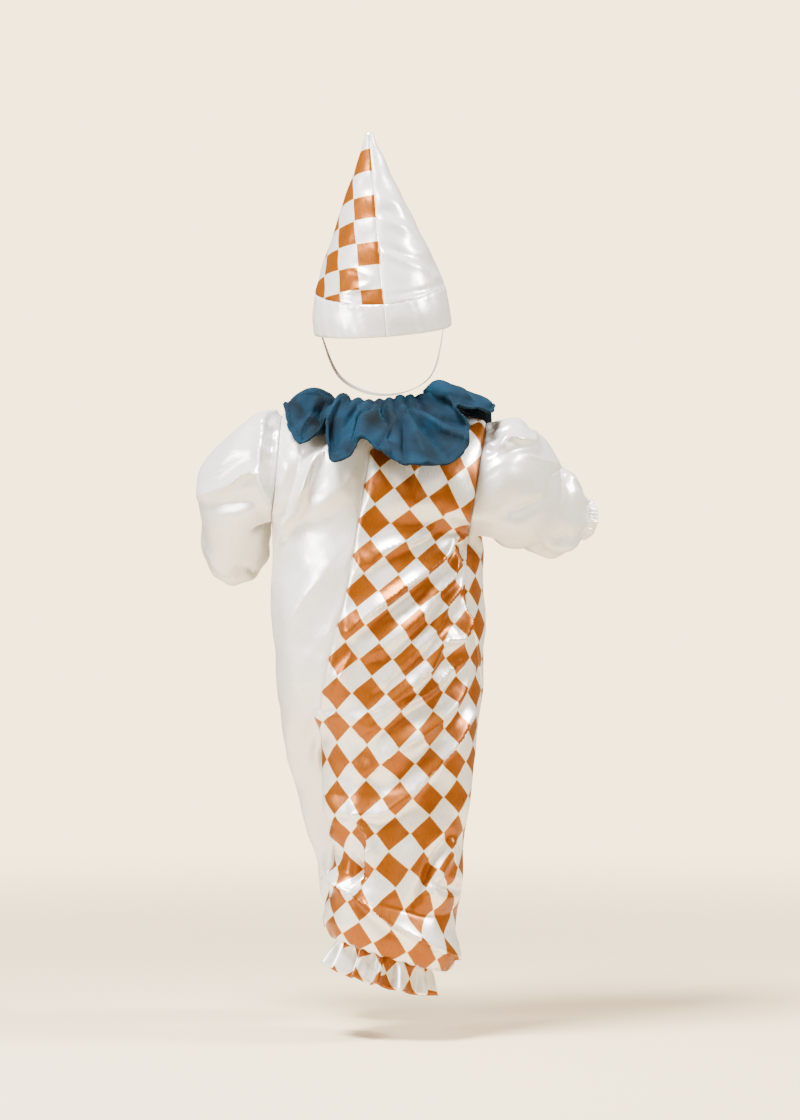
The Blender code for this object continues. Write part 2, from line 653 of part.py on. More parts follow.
def romper(materials):
    """The four panels, each shoulder to hem in one, and the two sleeves."""
    crotch = RIGHT_LEG["v"][1]
    down = np.concatenate(
        [
            np.linspace(0, TRUNK["v"][0], ARMHOLE_ROWS, endpoint=False),
            np.linspace(TRUNK["v"][0], crotch, TRUNK_ROWS, endpoint=False),
            np.linspace(crotch, ELASTIC_ROW, LEG_ROWS + 1),
        ]
    )
    names = [(side, face) for side in ("right", "left") for face in ("back", "front")]
    panels = {}
    for side, face in names:
        across = np.linspace(0, 1, PANEL_COLUMNS[f"{face}_{side}"] + 1)
        panels[f"{face}_{side}"] = panel_surface(side, face, across, down)
    join_seams(panels, down, crotch)
    folds = dict(
        back_right=BACK_RIGHT_FOLDS,
        back_left=BACK_LEFT_FOLDS,
        front_right=FRONT_RIGHT_FOLDS,
        front_left=FRONT_LEFT_FOLDS,
    )
    sheets = {}
    for side, face in names:
        name = f"{face}_{side}"
        flip = (side == "right") == (face == "back")
        points = panels[name]
        outward = grid_normals(points) * (-1 if flip else 1)
        width = np.linalg.norm(np.diff(points[ARMHOLE_ROWS], axis=0), axis=1).sum()
        across = np.linspace(0, 1, points.shape[1])
        points = points + outward * fold_heights(folds[name], width, across, down)[..., None]
        sheets[name] = (points, False, flip)
    for side in ("right", "left"):
        rim = armhole_rim(sheets[f"back_{side}"][0], sheets[f"front_{side}"][0])
        rings = RIGHT_SLEEVE if side == "right" else LEFT_SLEEVE
        length = np.linspace(rings["v"][0], rings["v"][-2], SLEEVE_ROWS)
        rows = np.concatenate([[0, SLEEVE_HEAD], length, rings["v"][-1:]])
        sheets[f"sleeve_{side}"] = (sleeve_surface(side, rim, rows), True, side == "left")
    normals = seam_normals(sheets)
    for side in ("right", "left"):
        even_out(normals[f"sleeve_{side}"][0], np.arange(1, 4 * ARMHOLE_ROWS, 2))
    for name in panels:
        normals[name][int(np.argmin(abs(down - crotch))), 0] = CROTCH_NORMAL
    even_out(normals["back_right"][0], np.arange(NECK_COLUMNS + 1, PANEL_COLUMNS["back_right"], 2))
    made = []
    for name, sheet in sheets.items():
        if name.startswith("sleeve"):
            made.append(cloth(name, sheet, normals[name], SATIN, materials["white"], edges=("top",)))
        else:
            colour = materials["check" if name.endswith("right") else "white"]
            edges = ("first", "last", "top")
            made.append(cloth(name, sheet, normals[name], SATIN, colour, edges=edges))
    return made


def armhole_rim(back, front):
    """The armhole's points from the shoulder down the back and up the front, with a point between each two."""
    ring = np.vstack([back[: ARMHOLE_ROWS + 1, -1], front[1:ARMHOLE_ROWS, -1][::-1]])
    between = (ring + np.roll(ring, -1, axis=0)) / 2
    return np.stack([ring, between], axis=1).reshape(-1, 3)


def frills(materials):
    made = []
    for side, rings, material in (("right", RIGHT_FRILL, "check"), ("left", LEFT_FRILL, "white")):
        sheet = (frill_surface(rings, FRILL_PITCH[side]), True, True)
        normals = seam_normals({"frill": sheet})["frill"]
        made.append(cloth(f"hem_frill_{side}", sheet, normals, SATIN, materials[material]))
    return made


def ruff(materials):
    sheet = (ruff_surface(), True, True)
    normals = seam_normals({"ruff": sheet})["ruff"]
    points = sheet[0] + normals * VELVET / 2
    return [cloth("ruff", (points, True, True), normals, VELVET, materials["velvet"])]


def hat(materials):
    """The band, a ring with one seam at the back, and the two halves of the cone on it."""
    half = np.linspace(0, 180, 13)
    cone_heights = np.array([42.0, 50, 62, 84, 112, 142, 168, 190, 199, 203, 204.2])
    band_heights = np.array([0.0, 14, 28, 42])
    sheets = {
        "hat_cone_right": (hat_surface(HAT_CONE, cone_heights, HAT_SEAM + half), False, True),
        "hat_cone_left": (hat_surface(HAT_CONE, cone_heights, HAT_SEAM - half), False, False),
        "hat_band": (hat_surface(HAT_BAND, band_heights, HAT_SEAM + np.linspace(0, 360, 25)), False, True),
    }
    sheets = {name: (points[::-1], around, flip) for name, (points, around, flip) in sheets.items()}
    normals = seam_normals(sheets)
    made = []
    for name, sheet in sheets.items():
        if name == "hat_band":
            made.append(cloth(name, sheet, normals[name], BAND, materials["white"], edges=("first", "last", "top")))
        else:
            colour = materials["check" if name.endswith("left") else "white"]
            made.append(cloth(name, sheet, normals[name], SATIN, colour, edges=("first", "last", "bottom")))
    return made


def chin_elastic(materials):
    m = hat_matrix()
    ends = [np.array(m @ Vector((side * ELASTIC_ANCHOR[0], *ELASTIC_ANCHOR[1:]))) for side in (-1, 1)]
    sides = [np.array([side * ELASTIC_SIDE[0] + ELASTIC_CHIN[0], *ELASTIC_SIDE[1:]]) for side in (-1, 1)]
    knots = np.array([ends[0], sides[0], ELASTIC_CHIN, sides[1], ends[1]])
    length = np.concatenate([[0], np.cumsum(np.linalg.norm(np.diff(knots, axis=0), axis=1))])
    path = spline(length, knots, np.linspace(0, length[-1], 25))
    axis = np.cross(path[-1] - path[0], path[12] - path[0])
    return [strap("chin_elastic", path, axis, materials["elastic"])]


def main():
    for obj in list(bpy.data.objects):
        bpy.data.objects.remove(obj)
    collection = bpy.data.collections.new("clown_costume")
    bpy.context.scene.collection.children.link(collection)
    materials = dict(
        white=cloth_material("white_satin", (0.86, 0.85, 0.84), 0.3),
        check=cloth_material("ochre_check_satin", (0.48, 0.17, 0.02), 0.3),
        velvet=cloth_material("teal_velvet", (0.0, 0.05, 0.10), 0.8),
        elastic=cloth_material("white_elastic", (0.85, 0.85, 0.84), 0.7),
    )
    for obj in romper(materials) + frills(materials) + ruff(materials) + hat(materials) + chin_elastic(materials):
        collection.objects.link(obj)


main()
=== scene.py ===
# Toddler's clown costume: satin romper, velvet ruff and cone hat, worn and walking, seen from behind.
# Sizes are millimetres on the cloth and in the tables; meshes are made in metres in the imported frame.
import math

import bpy
import numpy as np
from mathutils import Matrix, Vector


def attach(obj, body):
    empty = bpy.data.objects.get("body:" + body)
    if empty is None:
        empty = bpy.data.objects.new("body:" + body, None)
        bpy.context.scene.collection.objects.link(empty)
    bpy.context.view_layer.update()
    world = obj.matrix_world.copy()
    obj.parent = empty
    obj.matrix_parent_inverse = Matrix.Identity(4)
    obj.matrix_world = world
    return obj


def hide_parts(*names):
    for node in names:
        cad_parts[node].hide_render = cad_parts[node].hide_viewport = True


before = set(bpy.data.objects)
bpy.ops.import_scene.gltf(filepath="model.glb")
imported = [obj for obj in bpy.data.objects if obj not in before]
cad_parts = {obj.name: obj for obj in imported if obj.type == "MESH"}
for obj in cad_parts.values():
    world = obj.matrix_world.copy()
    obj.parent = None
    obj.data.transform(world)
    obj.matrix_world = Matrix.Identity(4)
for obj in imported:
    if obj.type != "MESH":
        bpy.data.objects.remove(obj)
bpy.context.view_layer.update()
mm = 0.001


# Curves and surfaces

def table(columns, *rows):
    return dict(zip(columns.split(), np.array(rows, float).T))


def rowsOf(columns):
    return [{name: values[i] for name, values in columns.items()} for i in range(len(columns["z"]))]


def spline(knots, values, at):
    # smooth curve through values at the knots; values may be numbers, points or whole curves
    knots, values, at = np.asarray(knots, float), np.asarray(values, float), np.atleast_1d(at)
    steps = np.diff(knots)
    shape = (-1,) + (1,) * (values.ndim - 1)
    slopes = np.diff(values, axis=0) / steps.reshape(shape)
    tangents = np.empty_like(values)
    tangents[0], tangents[-1] = slopes[0], slopes[-1]
    before, after = steps[:-1].reshape(shape), steps[1:].reshape(shape)
    tangents[1:-1] = (slopes[:-1] * after + slopes[1:] * before) / (before + after)
    i = np.clip(np.searchsorted(knots, at, side="right") - 1, 0, len(steps) - 1)
    h = steps[i].reshape(shape)
    t = ((at - knots[i]) / steps[i]).reshape(shape)
    return (
        (2 * t**3 - 3 * t**2 + 1) * values[i]
        + (t**3 - 2 * t**2 + t) * h * tangents[i]
        + (3 * t**2 - 2 * t**3) * values[i + 1]
        + (t**3 - t**2) * h * tangents[i + 1]
    )


def smoothStep(t):
    t = np.clip(t, 0, 1)
    return t * t * (3 - 2 * t)


def unit(v):
    return v / np.maximum(np.linalg.norm(v, axis=-1, keepdims=True), 1e-9)


def arc(row, angleFrom, angleTo, share):
    bearing = np.radians(angleFrom + (angleTo - angleFrom) * share)
    dx = row["halfWidth"] * np.sin(bearing)
    dy = -row["halfDepth"] * np.cos(bearing)
    dz = row.get("roll", 0) * dx + row.get("pitch", 0) * dy
    return np.stack([row["x"] + dx, row["y"] + dy, row["z"] + dz], axis=-1)


def gridNormals(points, around):
    if around:
        along = np.roll(points, -1, axis=1) - np.roll(points, 1, axis=1)
    else:
        along = np.gradient(points, axis=1)
    return unit(np.cross(along, np.gradient(points, axis=0)))


# Romper: the same sections as the solids, read more closely

romper = dict(
    rowStep=2.6,            # mm of cloth between rows
    columns=dict(backRight=84, backLeft=60, frontRight=64, frontLeft=64),
    armholeRows=50,
    evenRows=6,             # rows above and below that share the take-up of a fold
    satin=0.9,              # wall of the shown cloth
    seamDip=1.3,            # how far the cloth turns in at a seam
    seamWidth=2.4,
    hem=622.0,
    crotch=405.0,
)
neck = dict(x=-0.5, halfWidth=46.5, halfDepth=44.5, height=-6.0, backRise=5.0, tilt=0.07, share=0.4,
            backSeam=-7.0, frontSeam=175.0)
shoulder = dict(right=(101.0, 0.0, -20.0), left=(-109.0, 2.0, -12.0))
armholeDepth = dict(right=44.0, left=46.0)
bladeBulge = 13.0
trunk = table(
    "v    z     x      y   halfWidth halfDepth roll  back  right front  left",
    (130, -130, -12.0, -2, 107.5, 82, -0.07, -10, 62, 178, -86),
    (165, -168, -10.5, -2, 108.5, 87, -0.04, -14, 57, 178, -88),
    (200, -204, -10.5, -1, 109.5, 91, 0.00, -18, 56, 177, -90),
    (243, -245, -8.5, 0, 108.5, 93, 0.00, -26, 66, 176, -95),
    (295, -297, -8.5, 1, 105.5, 92, 0.00, -34, 84, 180, -104),
)
legs = dict(
    right=table(
        "v    z     x    y    halfWidth halfDepth roll   pitch  inseam side front",
        (350, -347, 10, -18, 81, 74, 0.00, 0.00, -72, 91, 195),
        (405, -400, 13, -36, 72, 51, 0.00, 0.00, -140, 92, 220),
        (455, -450, 12, -34, 66, 55, 0.00, 0.00, -126, 92, 234),
        (500, -492, 9, -33, 67, 60, -0.03, 0.00, -112, 92, 248),
        (540, -528, 2, -32, 67, 61, -0.16, 0.00, -104, 92, 256),
        (568, -550, 2, -32, 68, 61, -0.26, 0.00, -100, 92, 260),
        (590, -564, 1, -32, 61, 55, -0.30, 0.00, -100, 92, 260),
        (606, -562, -1, -32, 50, 45, -0.30, 0.00, -100, 92, 260),
        (622, -552, -2, -32, 40, 37, -0.30, 0.00, -100, 92, 260),
    ),
    left=table(
        "v    z     x    y   halfWidth halfDepth roll  pitch inseam side  front",
        (350, -347, -28, 26, 80, 70, 0.00, 0.05, -30, -110, -215),
        (405, -400, -40, 73, 57, 55, 0.00, 0.12, 4, -122, -356),
        (455, -440, -34, 91, 54, 50, 0.00, 0.26, 18, -118, -342),
        (500, -474, -26, 103, 50, 48, 0.05, 0.30, 35, -112, -325),
        (540, -500, -21, 110, 51, 49, 0.08, 0.25, 45, -106, -315),
        (568, -514, -20, 112, 50, 48, 0.08, 0.20, 50, -102, -310),
        (590, -523, -20, 112, 45, 43, 0.08, 0.20, 50, -102, -310),
        (606, -521, -20, 112, 39, 38, 0.08, 0.20, 50, -102, -310),
        (622, -512, -20, 112, 33, 33, 0.08, 0.20, 50, -102, -310),
    ),
)
seatSeams = table(
    "v  backX backY backZ frontX frontY z",
    (350, -69, -44, -340, 4, 70, -337),
    (378, -64, -18, -371, -2, 34, -369),
    (392, -52, 2, -389, -17, 16, -388),
    (405, -36, 10.5, -403, -36, 10.5, -403),
)

# Creases as they are seen from behind or in front: places across and up from the neck, half width at both
# ends, height (hollows negative) and how much steeper the lower side is. Read off the photograph.
backCreases = [
    # the fan from the right underarm down across the checked back
    ([(55, -119), (38, -135), (13, -147), (-4, -155), (-18, -166)], 4, 11, 4.6, 0.3),
    ([(71, -140), (55, -162), (30, -180), (8, -197), (-16, -215), (-37, -234)], 3, 9, 5.4, 0.35),
    ([(72, -149), (66, -176), (48, -196), (32, -219), (16, -234), (-6, -253)], 3, 10, 5.0, 0.35),
    ([(76, -149), (73, -190), (59, -207), (46, -232), (24, -257), (-2, -284)], 3, 11, 4.6, 0.3),
    ([(90, -176), (82, -223), (71, -243), (54, -245), (40, -268), (23, -286)], 4, 9, 4.8, 0.3),
    ([(74, -146), (80, -170), (79, -196)], 3, 7, -4.5, 0.0),
    ([(70, -142), (74, -152)], 3, 5, -4.0, 0.0),
    # from the hip down to the left
    ([(55, -245), (40, -268), (23, -286), (7, -301), (-6, -310)], 6, 10, 3.6, 0.3),
    ([(73, -268), (57, -280), (40, -295), (18, -308), (-12, -330)], 5, 12, 4.6, 0.35),
    ([(86, -274), (70, -304), (57, -320), (32, -340), (12, -352), (-12, -372)], 5, 13, 5.0, 0.35),
    (
        [(86, -320), (67, -348), (55, -360), (40, -378), (26, -395), (7, -412), (-10, -420), (-30, -421)],
        5, 10, 5.6, 0.4,
    ),
    ([(-35, -258), (-44, -275), (-53, -298)], 4, 7, 2.4, 0.2),
    ([(-46, -330), (-28, -352), (-12, -385), (-8, -410)], 8, 14, -2.6, 0.0),
    # the knee: a deep pocket with a roll on its left, and a pinch on the right
    ([(-34, -458), (-31, -474), (-36, -492)], 8, 8, -9.0, 0.0),
    ([(-46, -430), (-57, -463), (-55, -486), (-44, -500)], 6, 8, 4.5, 0.2),
    ([(-33, -420), (-17, -449), (-21, -467), (-27, -485)], 4, 5, 4.5, -0.3),
    ([(-54, -490), (-27, -504), (7, -528), (38, -550), (65, -566)], 7, 10, 7.0, 0.45),
    ([(62, -441), (54, -454), (45, -470), (37, -491), (27, -509)], 4, 6, -4.5, 0.0),
    ([(66, -450), (62, -462), (52, -480), (42, -500)], 4, 5, 3.8, 0.0),
    ([(47, -488), (60, -494), (72, -498)], 4, 5, -4.0, 0.0),
    ([(-30, -500), (4, -512), (40, -522), (66, -520)], 5, 7, -3.0, 0.0),
    # the white half
    ([(-60, -52), (-72, -60), (-84, -91), (-106, -139)], 8, 5, 5.4, 0.35),
    ([(-88, -56), (-98, -84), (-107, -113)], 7, 6, -4.0, 0.0),
    ([(-40, -79), (-69, -108), (-87, -120)], 12, 9, 2.6, 0.2),
    ([(-58, -170), (-88, -215), (-98, -250)], 14, 16, 2.4, 0.2),
    ([(-104, -190), (-98, -260), (-84, -330)], 10, 16, 2.2, 0.1),
    ([(-62, -300), (-84, -350), (-90, -395)], 12, 12, -3.0, 0.0),
    ([(-74, -360), (-62, -400), (-58, -440)], 9, 9, 3.4, 0.2),
    ([(-70, -420), (-58, -455), (-50, -480)], 8, 8, -3.6, 0.0),
]
frontCreases = [
    ([(74, -140), (45, -178), (8, -205), (-8, -220)], 3, 11, 5.0, 0.3),
    ([(76, -150), (60, -200), (24, -240), (0, -262)], 3, 12, 5.0, 0.3),
    ([(80, -165), (74, -215), (52, -262), (20, -300)], 4, 13, 4.6, 0.3),
    ([(90, -250), (70, -300), (30, -340), (0, -352)], 6, 13, 4.4, 0.3),
    ([(-112, -140), (-88, -175), (-52, -205), (-30, -216)], 4, 11, 4.6, 0.3),
    ([(-112, -155), (-96, -205), (-62, -250), (-28, -272)], 4, 12, 4.4, 0.3),
    ([(-108, -230), (-88, -290), (-52, -335), (-20, -350)], 6, 13, 4.2, 0.3),
    ([(-60, -60), (-40, -90), (-24, -110)], 7, 9, 2.4, 0.2),
    ([(52, -60), (36, -92), (20, -112)], 7, 9, 2.4, 0.2),
    ([(40, -440), (52, -470), (60, -500)], 7, 8, -6.0, 0.0),
    ([(-20, -480), (15, -510), (52, -545), (66, -560)], 6, 9, 5.5, 0.3),
    ([(72, -400), (48, -430), (30, -470)], 7, 10, 3.8, 0.3),
    ([(-66, -400), (-44, -430), (-20, -446)], 7, 10, 4.4, 0.3),
    ([(-62, -440), (-40, -466), (-8, -482)], 6, 9, -4.4, 0.0),
    ([(-60, -470), (-30, -492), (6, -505)], 6, 9, 4.4, 0.3),
]
sleeveBackCreases = [
    # right sleeve: the crisp fold under its head, and the bend of the elbow
    ([(105, -47), (116, -47), (121, -40), (137, -41), (148, -41), (151, -34)], 3, 4, 3.4, 0.5),
    ([(106, -53), (120, -53), (137, -48), (150, -46)], 5, 6, -2.0, 0.0),
    ([(100, -24), (110, -24)], 4, 4, -2.6, 0.0),
    ([(100, -35), (110, -35)], 4, 4, -2.6, 0.0),
    ([(163, -100), (154, -104), (140, -112), (122, -118)], 5, 9, -4.2, 0.0),
    ([(158, -62), (176, -68), (195, -84), (206, -100)], 9, 7, 3.0, 0.3),
    ([(168, -92), (174, -80), (184, -72)], 5, 7, -3.0, 0.0),
    ([(159, -148), (176, -143), (186, -137)], 4, 4, -2.6, 0.0),
    ([(150, -140), (176, -152), (196, -148)], 5, 5, 2.2, 0.0),
    # left sleeve: the ridge beside the armhole and the one that turns under at the elbow
    ([(-107, -12), (-124, -16), (-127, -36), (-129, -64), (-122, -92), (-113, -108)], 4, 4, 3.6, 0.4),
    ([(-116, -30), (-119, -60), (-115, -90)], 4, 5, -3.0, 0.0),
    ([(-189, -98), (-160, -86), (-136, -74), (-129, -86), (-115, -120)], 5, 4, 4.0, 0.5),
    ([(-182, -108), (-158, -104), (-140, -104), (-126, -120)], 8, 8, -2.6, 0.0),
    ([(-138, -20), (-160, -56), (-186, -88)], 9, 9, 2.6, 0.2),
    ([(-185, -160), (-174, -172), (-160, -180)], 5, 5, 2.6, 0.2),
    ([(-150, -172), (-136, -176), (-128, -170)], 5, 5, -3.2, 0.0),
]
sleeveFrontCreases = [
    ([(112, -44), (130, -60), (150, -64)], 6, 8, 3.0, 0.3),
    ([(118, -100), (140, -106), (160, -100)], 5, 8, -3.6, 0.0),
    ([(160, -80), (182, -96), (200, -108)], 7, 6, 3.0, 0.3),
    ([(-118, -40), (-136, -70), (-150, -90)], 7, 8, 3.0, 0.3),
    ([(-126, -110), (-150, -110), (-176, -104)], 6, 8, -3.4, 0.0),
    ([(-178, -120), (-164, -146), (-150, -160)], 6, 6, 2.8, 0.3),
]


def creaseShape(points, normals, creases, facing, strength=1.0):
    # how the creases move each point: outwards, and sideways so that the lower side hangs over;
    # only cloth that faces that way takes them
    flat = points.reshape(-1, 3)
    outward = normals.reshape(-1, 3)
    moved = np.zeros_like(flat)
    seen = smoothStep((outward[:, 1] * facing + 0.05) / 0.35)
    for path, startWidth, endWidth, rise, lean in creases:
        knots = np.array(path, float)
        length = np.concatenate([[0], np.cumsum(np.linalg.norm(np.diff(knots, axis=0), axis=1))])
        t = np.linspace(0, 1, max(8, int(length[-1] / 3)))
        line = spline(length, knots, t * length[-1])
        away = flat[:, None, [0, 2]] - line[None]
        distance = np.linalg.norm(away, axis=2)
        near = distance.argmin(axis=1)
        along = t[near]
        tangent = unit(np.gradient(line, axis=0))
        downhill = 1 if tangent[len(t) // 2, 0] > 0 else -1
        lower = np.stack([tangent[:, 1], -tangent[:, 0]], axis=-1)[near] * downhill
        offset = away[np.arange(len(flat)), near]
        below = np.sign((offset * lower).sum(axis=1))
        width = (startWidth + (endWidth - startWidth) * along) * (1 - lean * below)
        ends = 0.25 + 0.75 * np.sin(math.pi * np.clip(along, 0.06, 0.94)) ** 0.6
        narrow = 0.4 + 0.6 * width / max(startWidth, endWidth)
        lift = strength * rise * ends * narrow * np.exp(-((distance.min(axis=1) / width) ** 1.7)) * seen
        moved += outward * lift[:, None]
        moved[:, 0] += lower[:, 0] * 0.5 * lean * lift
        moved[:, 2] += lower[:, 1] * 0.5 * lean * lift
    return moved.reshape(points.shape)


def clothNoise(points, size, seed):
    # soft unevenness of hand-sewn cloth: a few crossing waves with fixed phases
    rng = np.random.default_rng(seed)
    total = np.zeros(points.shape[:-1])
    for i in range(9):
        direction = unit(rng.normal(size=3))
        wavelength = size * rng.uniform(0.7, 1.5)
        total += np.sin(points @ direction * (2 * math.pi / wavelength) + rng.uniform(0, 6.3))
    return total / 3


def neckPoint(bearing):
    a = np.radians(bearing)
    x = neck["x"] + neck["halfWidth"] * np.sin(a)
    return np.stack([x, -neck["halfDepth"] * np.cos(a),
                     neck["height"] + neck["backRise"] * np.cos(a) + neck["tilt"] * x], axis=-1)


def armhole(side, face, share):
    top = np.array(shoulder[side])
    under = arc(rowsOf(trunk)[0], trunk[side][0], trunk[side][0], np.zeros(1))[0]
    turn = math.pi * share
    out = np.array([0, -armholeDepth[side] if face == "back" else armholeDepth[side], 0])
    return (top + under) / 2 + math.cos(turn) * (top - under) / 2 + math.sin(turn) * out


def sectionAngles(side, face, row):
    centre = row[face] - (360 if face == "front" and side == "left" else 0)
    return centre, row[side]


def shoulderStations(side, face, across):
    right, back = side == "right", face == "back"
    seam = neck["backSeam"] if back else neck["frontSeam"] - (0 if right else 360)
    shoulderBearing = 90 if right else -90
    edge = neckPoint(seam + (shoulderBearing - seam) * np.minimum(across / neck["share"], 1))
    tip = np.array(shoulder[side])
    along = np.clip((across - neck["share"]) / (1 - neck["share"]), 0, 1)[:, None]
    top = np.where(across[:, None] < neck["share"], edge, edge[-1] + (tip - edge[-1]) * along)
    first = rowsOf(trunk)[0]
    low = arc(first, *sectionAngles(side, face, first), across)
    outward = np.array([0, -1.0 if back else 1.0, 0.3])
    stations = [top]
    for share in (0.25, 0.5, 0.75):
        drop = share**1.25
        spine = top[0] + (low[0] - top[0]) * np.array([share, math.sin(share * math.pi / 2), drop])
        plain = top + (low - top) * np.array([share, share, drop])
        bulge = 4 * across * (1 - across) * math.sin(math.pi * share) * bladeBulge
        rim = armhole(side, face, share)
        fitted = (1 - across)[:, None] * (spine - plain[0]) + across[:, None] * (rim - plain[-1])
        stations.append(plain + fitted + bulge[:, None] * outward)
    return stations


def panelSurface(side, face, across, down):
    stations = shoulderStations(side, face, across)
    knots = [0, 32.5, 65, 97.5]
    for row in rowsOf(trunk):
        stations.append(arc(row, *sectionAngles(side, face, row), across))
        knots.append(row["v"])
    for row in rowsOf(legs[side]):
        stations.append(arc(row, row["inseam"] if face == "back" else row["front"], row["side"], across))
        knots.append(row["v"])
    return spline(knots, np.array(stations), down)


def joinSeams(panels, down):
    # sewn panels are drawn to one line: centre seams, inseams and side seams
    lowest = int(np.argmin(abs(down - romper["crotch"])))
    first = {name: points[:, 0].copy() for name, points in panels.items()}
    last = {name: points[:, -1].copy() for name, points in panels.items()}
    seat = {
        face: np.stack([spline(seatSeams["v"], seatSeams[name], down) for name in names], axis=-1)
        for face, names in (("back", ("backX", "backY", "backZ")), ("front", ("frontX", "frontY", "z")))
    }
    crotchPoint = seat["back"][lowest]
    for (side, face), points in panels.items():
        otherSide = ("left" if side == "right" else "right", face)
        otherFace = (side, "front" if face == "back" else "back")
        share = np.linspace(0, 1, points.shape[1])[:, None]
        legTop = (first[side, face][lowest] + first[otherFace][lowest]) / 2
        for row, v in enumerate(down):
            if row < lowest:
                near = smoothStep((v - seatSeams["v"][0] + 40) / 50)
                middle = (first[side, face][row] + first[otherSide][row]) / 2
                target = middle * (1 - near) + seat[face][row] * near
            else:
                fade = 1 - smoothStep((v - romper["crotch"]) / 90)
                target = (first[side, face][row] + first[otherFace][row]) / 2 + (crotchPoint - legTop) * fade
            points[row] += (target - first[side, face][row]) * (1 - share) ** 4
            if row >= romper["armholeRows"]:
                target = (last[side, face][row] + last[otherFace][row]) / 2
                points[row] += (target - last[side, face][row]) * share**4


def seamTurn(edgeDistance):
    # the cloth rolls in where it is sewn
    return -romper["seamDip"] * np.exp(-((edgeDistance / romper["seamWidth"]) ** 2))


# Cloth walls with a map in cloth millimetres

def clothPiece(name, points, around, flip, wall, material, cloth=None, inner=None):
    # a thin closed shell: the outer sheet, the inner one a wall below it, and the rims between
    rows, columns = points.shape[:2]
    normal = gridNormals(points, around) * (-1 if flip else 1)
    inside = points - normal * wall if inner is None else inner
    count = rows * columns
    i, j = np.meshgrid(np.arange(rows - 1), np.arange(columns if around else columns - 1), indexing="ij")
    k = (j + 1) % columns
    upper, lower = i * columns, (i + 1) * columns
    quads = np.stack([upper + j, lower + j, lower + k, upper + k], -1).reshape(-1, 4)
    quads = quads if flip else quads[:, ::-1]
    rims = []
    loops = [[(0, c) for c in range(columns)], [(rows - 1, columns - 1 - c) for c in range(columns)]]
    if around:
        loops = [loop + loop[:1] for loop in loops]
    else:
        loops += [[(rows - 1 - r, 0) for r in range(rows)], [(r, columns - 1) for r in range(rows)]]
    for loop in loops:
        index = [a * columns + b for a, b in loop]
        for a, b in zip(index, index[1:]):
            rims.append((b, a, a + count, b + count) if not flip else (a, b, b + count, a + count))
    faces = np.vstack([quads, quads[:, ::-1] + count, np.array(rims)])
    mesh = bpy.data.meshes.new(name)
    places = np.vstack([points.reshape(-1, 3), inside.reshape(-1, 3)]) * mm
    mesh.from_pydata(places.tolist(), [], faces.tolist())
    if cloth is None:
        cloth = clothLengths(points, around)
    flatMap = np.vstack([cloth.reshape(-1, 2), cloth.reshape(-1, 2)])
    layer = mesh.uv_layers.new(name="cloth")
    corner = np.zeros(len(mesh.loops), np.int32)
    mesh.loops.foreach_get("vertex_index", corner)
    uv = flatMap[corner]
    if around:  # the last column of faces closes the tube, so its far corners take the whole girth
        girth = cloth[:, -1, 0] * columns / (columns - 1)
        closing = (corner % count) % columns == 0
        polygon = np.repeat(np.arange(len(faces)), 4)
        last = np.zeros(len(faces), bool)
        last[np.unique(polygon[((corner % count) % columns) == columns - 1])] = True
        first = np.zeros(len(faces), bool)
        first[np.unique(polygon[closing])] = True
        swap = closing & (last & first)[polygon]
        uv[swap, 0] = girth[(corner[swap] % count) // columns]
    layer.data.foreach_set("uv", (uv * mm).astype(np.float32).ravel())
    mesh.materials.append(material)
    mesh.validate()
    mesh.shade_smooth()
    obj = bpy.data.objects.new(name, mesh)
    bpy.context.scene.collection.objects.link(obj)
    return obj


def clothLengths(points, around):
    # how far each point lies along the cloth, across from the first edge and down from the top
    across = np.linalg.norm(np.diff(points, axis=1), axis=2)
    across = np.concatenate([np.zeros((len(points), 1)), np.cumsum(across, axis=1)], axis=1)
    down = np.linalg.norm(np.diff(points, axis=0), axis=2)
    down = np.concatenate([np.zeros((1, points.shape[1])), np.cumsum(down, axis=0)], axis=0)
    return np.stack([across, down], axis=-1)


def finishPiece(obj, nodes):
    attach(obj, "root")
    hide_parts(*nodes)


# Materials

def linear(hexColour):
    channels = [int(hexColour[i:i + 2], 16) / 255 for i in (1, 3, 5)]
    return tuple(c / 12.92 if c <= 0.04045 else ((c + 0.055) / 1.055) ** 2.4 for c in channels) + (1,)


def addNode(tree, kind, settings=None, values=None, links=None):
    # one node with its settings, input values and links from other sockets
    node = tree.nodes.new(kind)
    for key, value in (settings or {}).items():
        setattr(node, key, value)
    for key, value in (values or {}).items():
        node.inputs[key].default_value = value
    for key, socket in (links or {}).items():
        tree.links.new(socket, node.inputs[key])
    return node


def newMaterial(name, shader):
    material = bpy.data.materials.new(name)
    material.use_nodes = True
    principled = material.node_tree.nodes["Principled BSDF"]
    for key, value in shader.items():
        principled.inputs[key].default_value = value
    return material, material.node_tree, principled


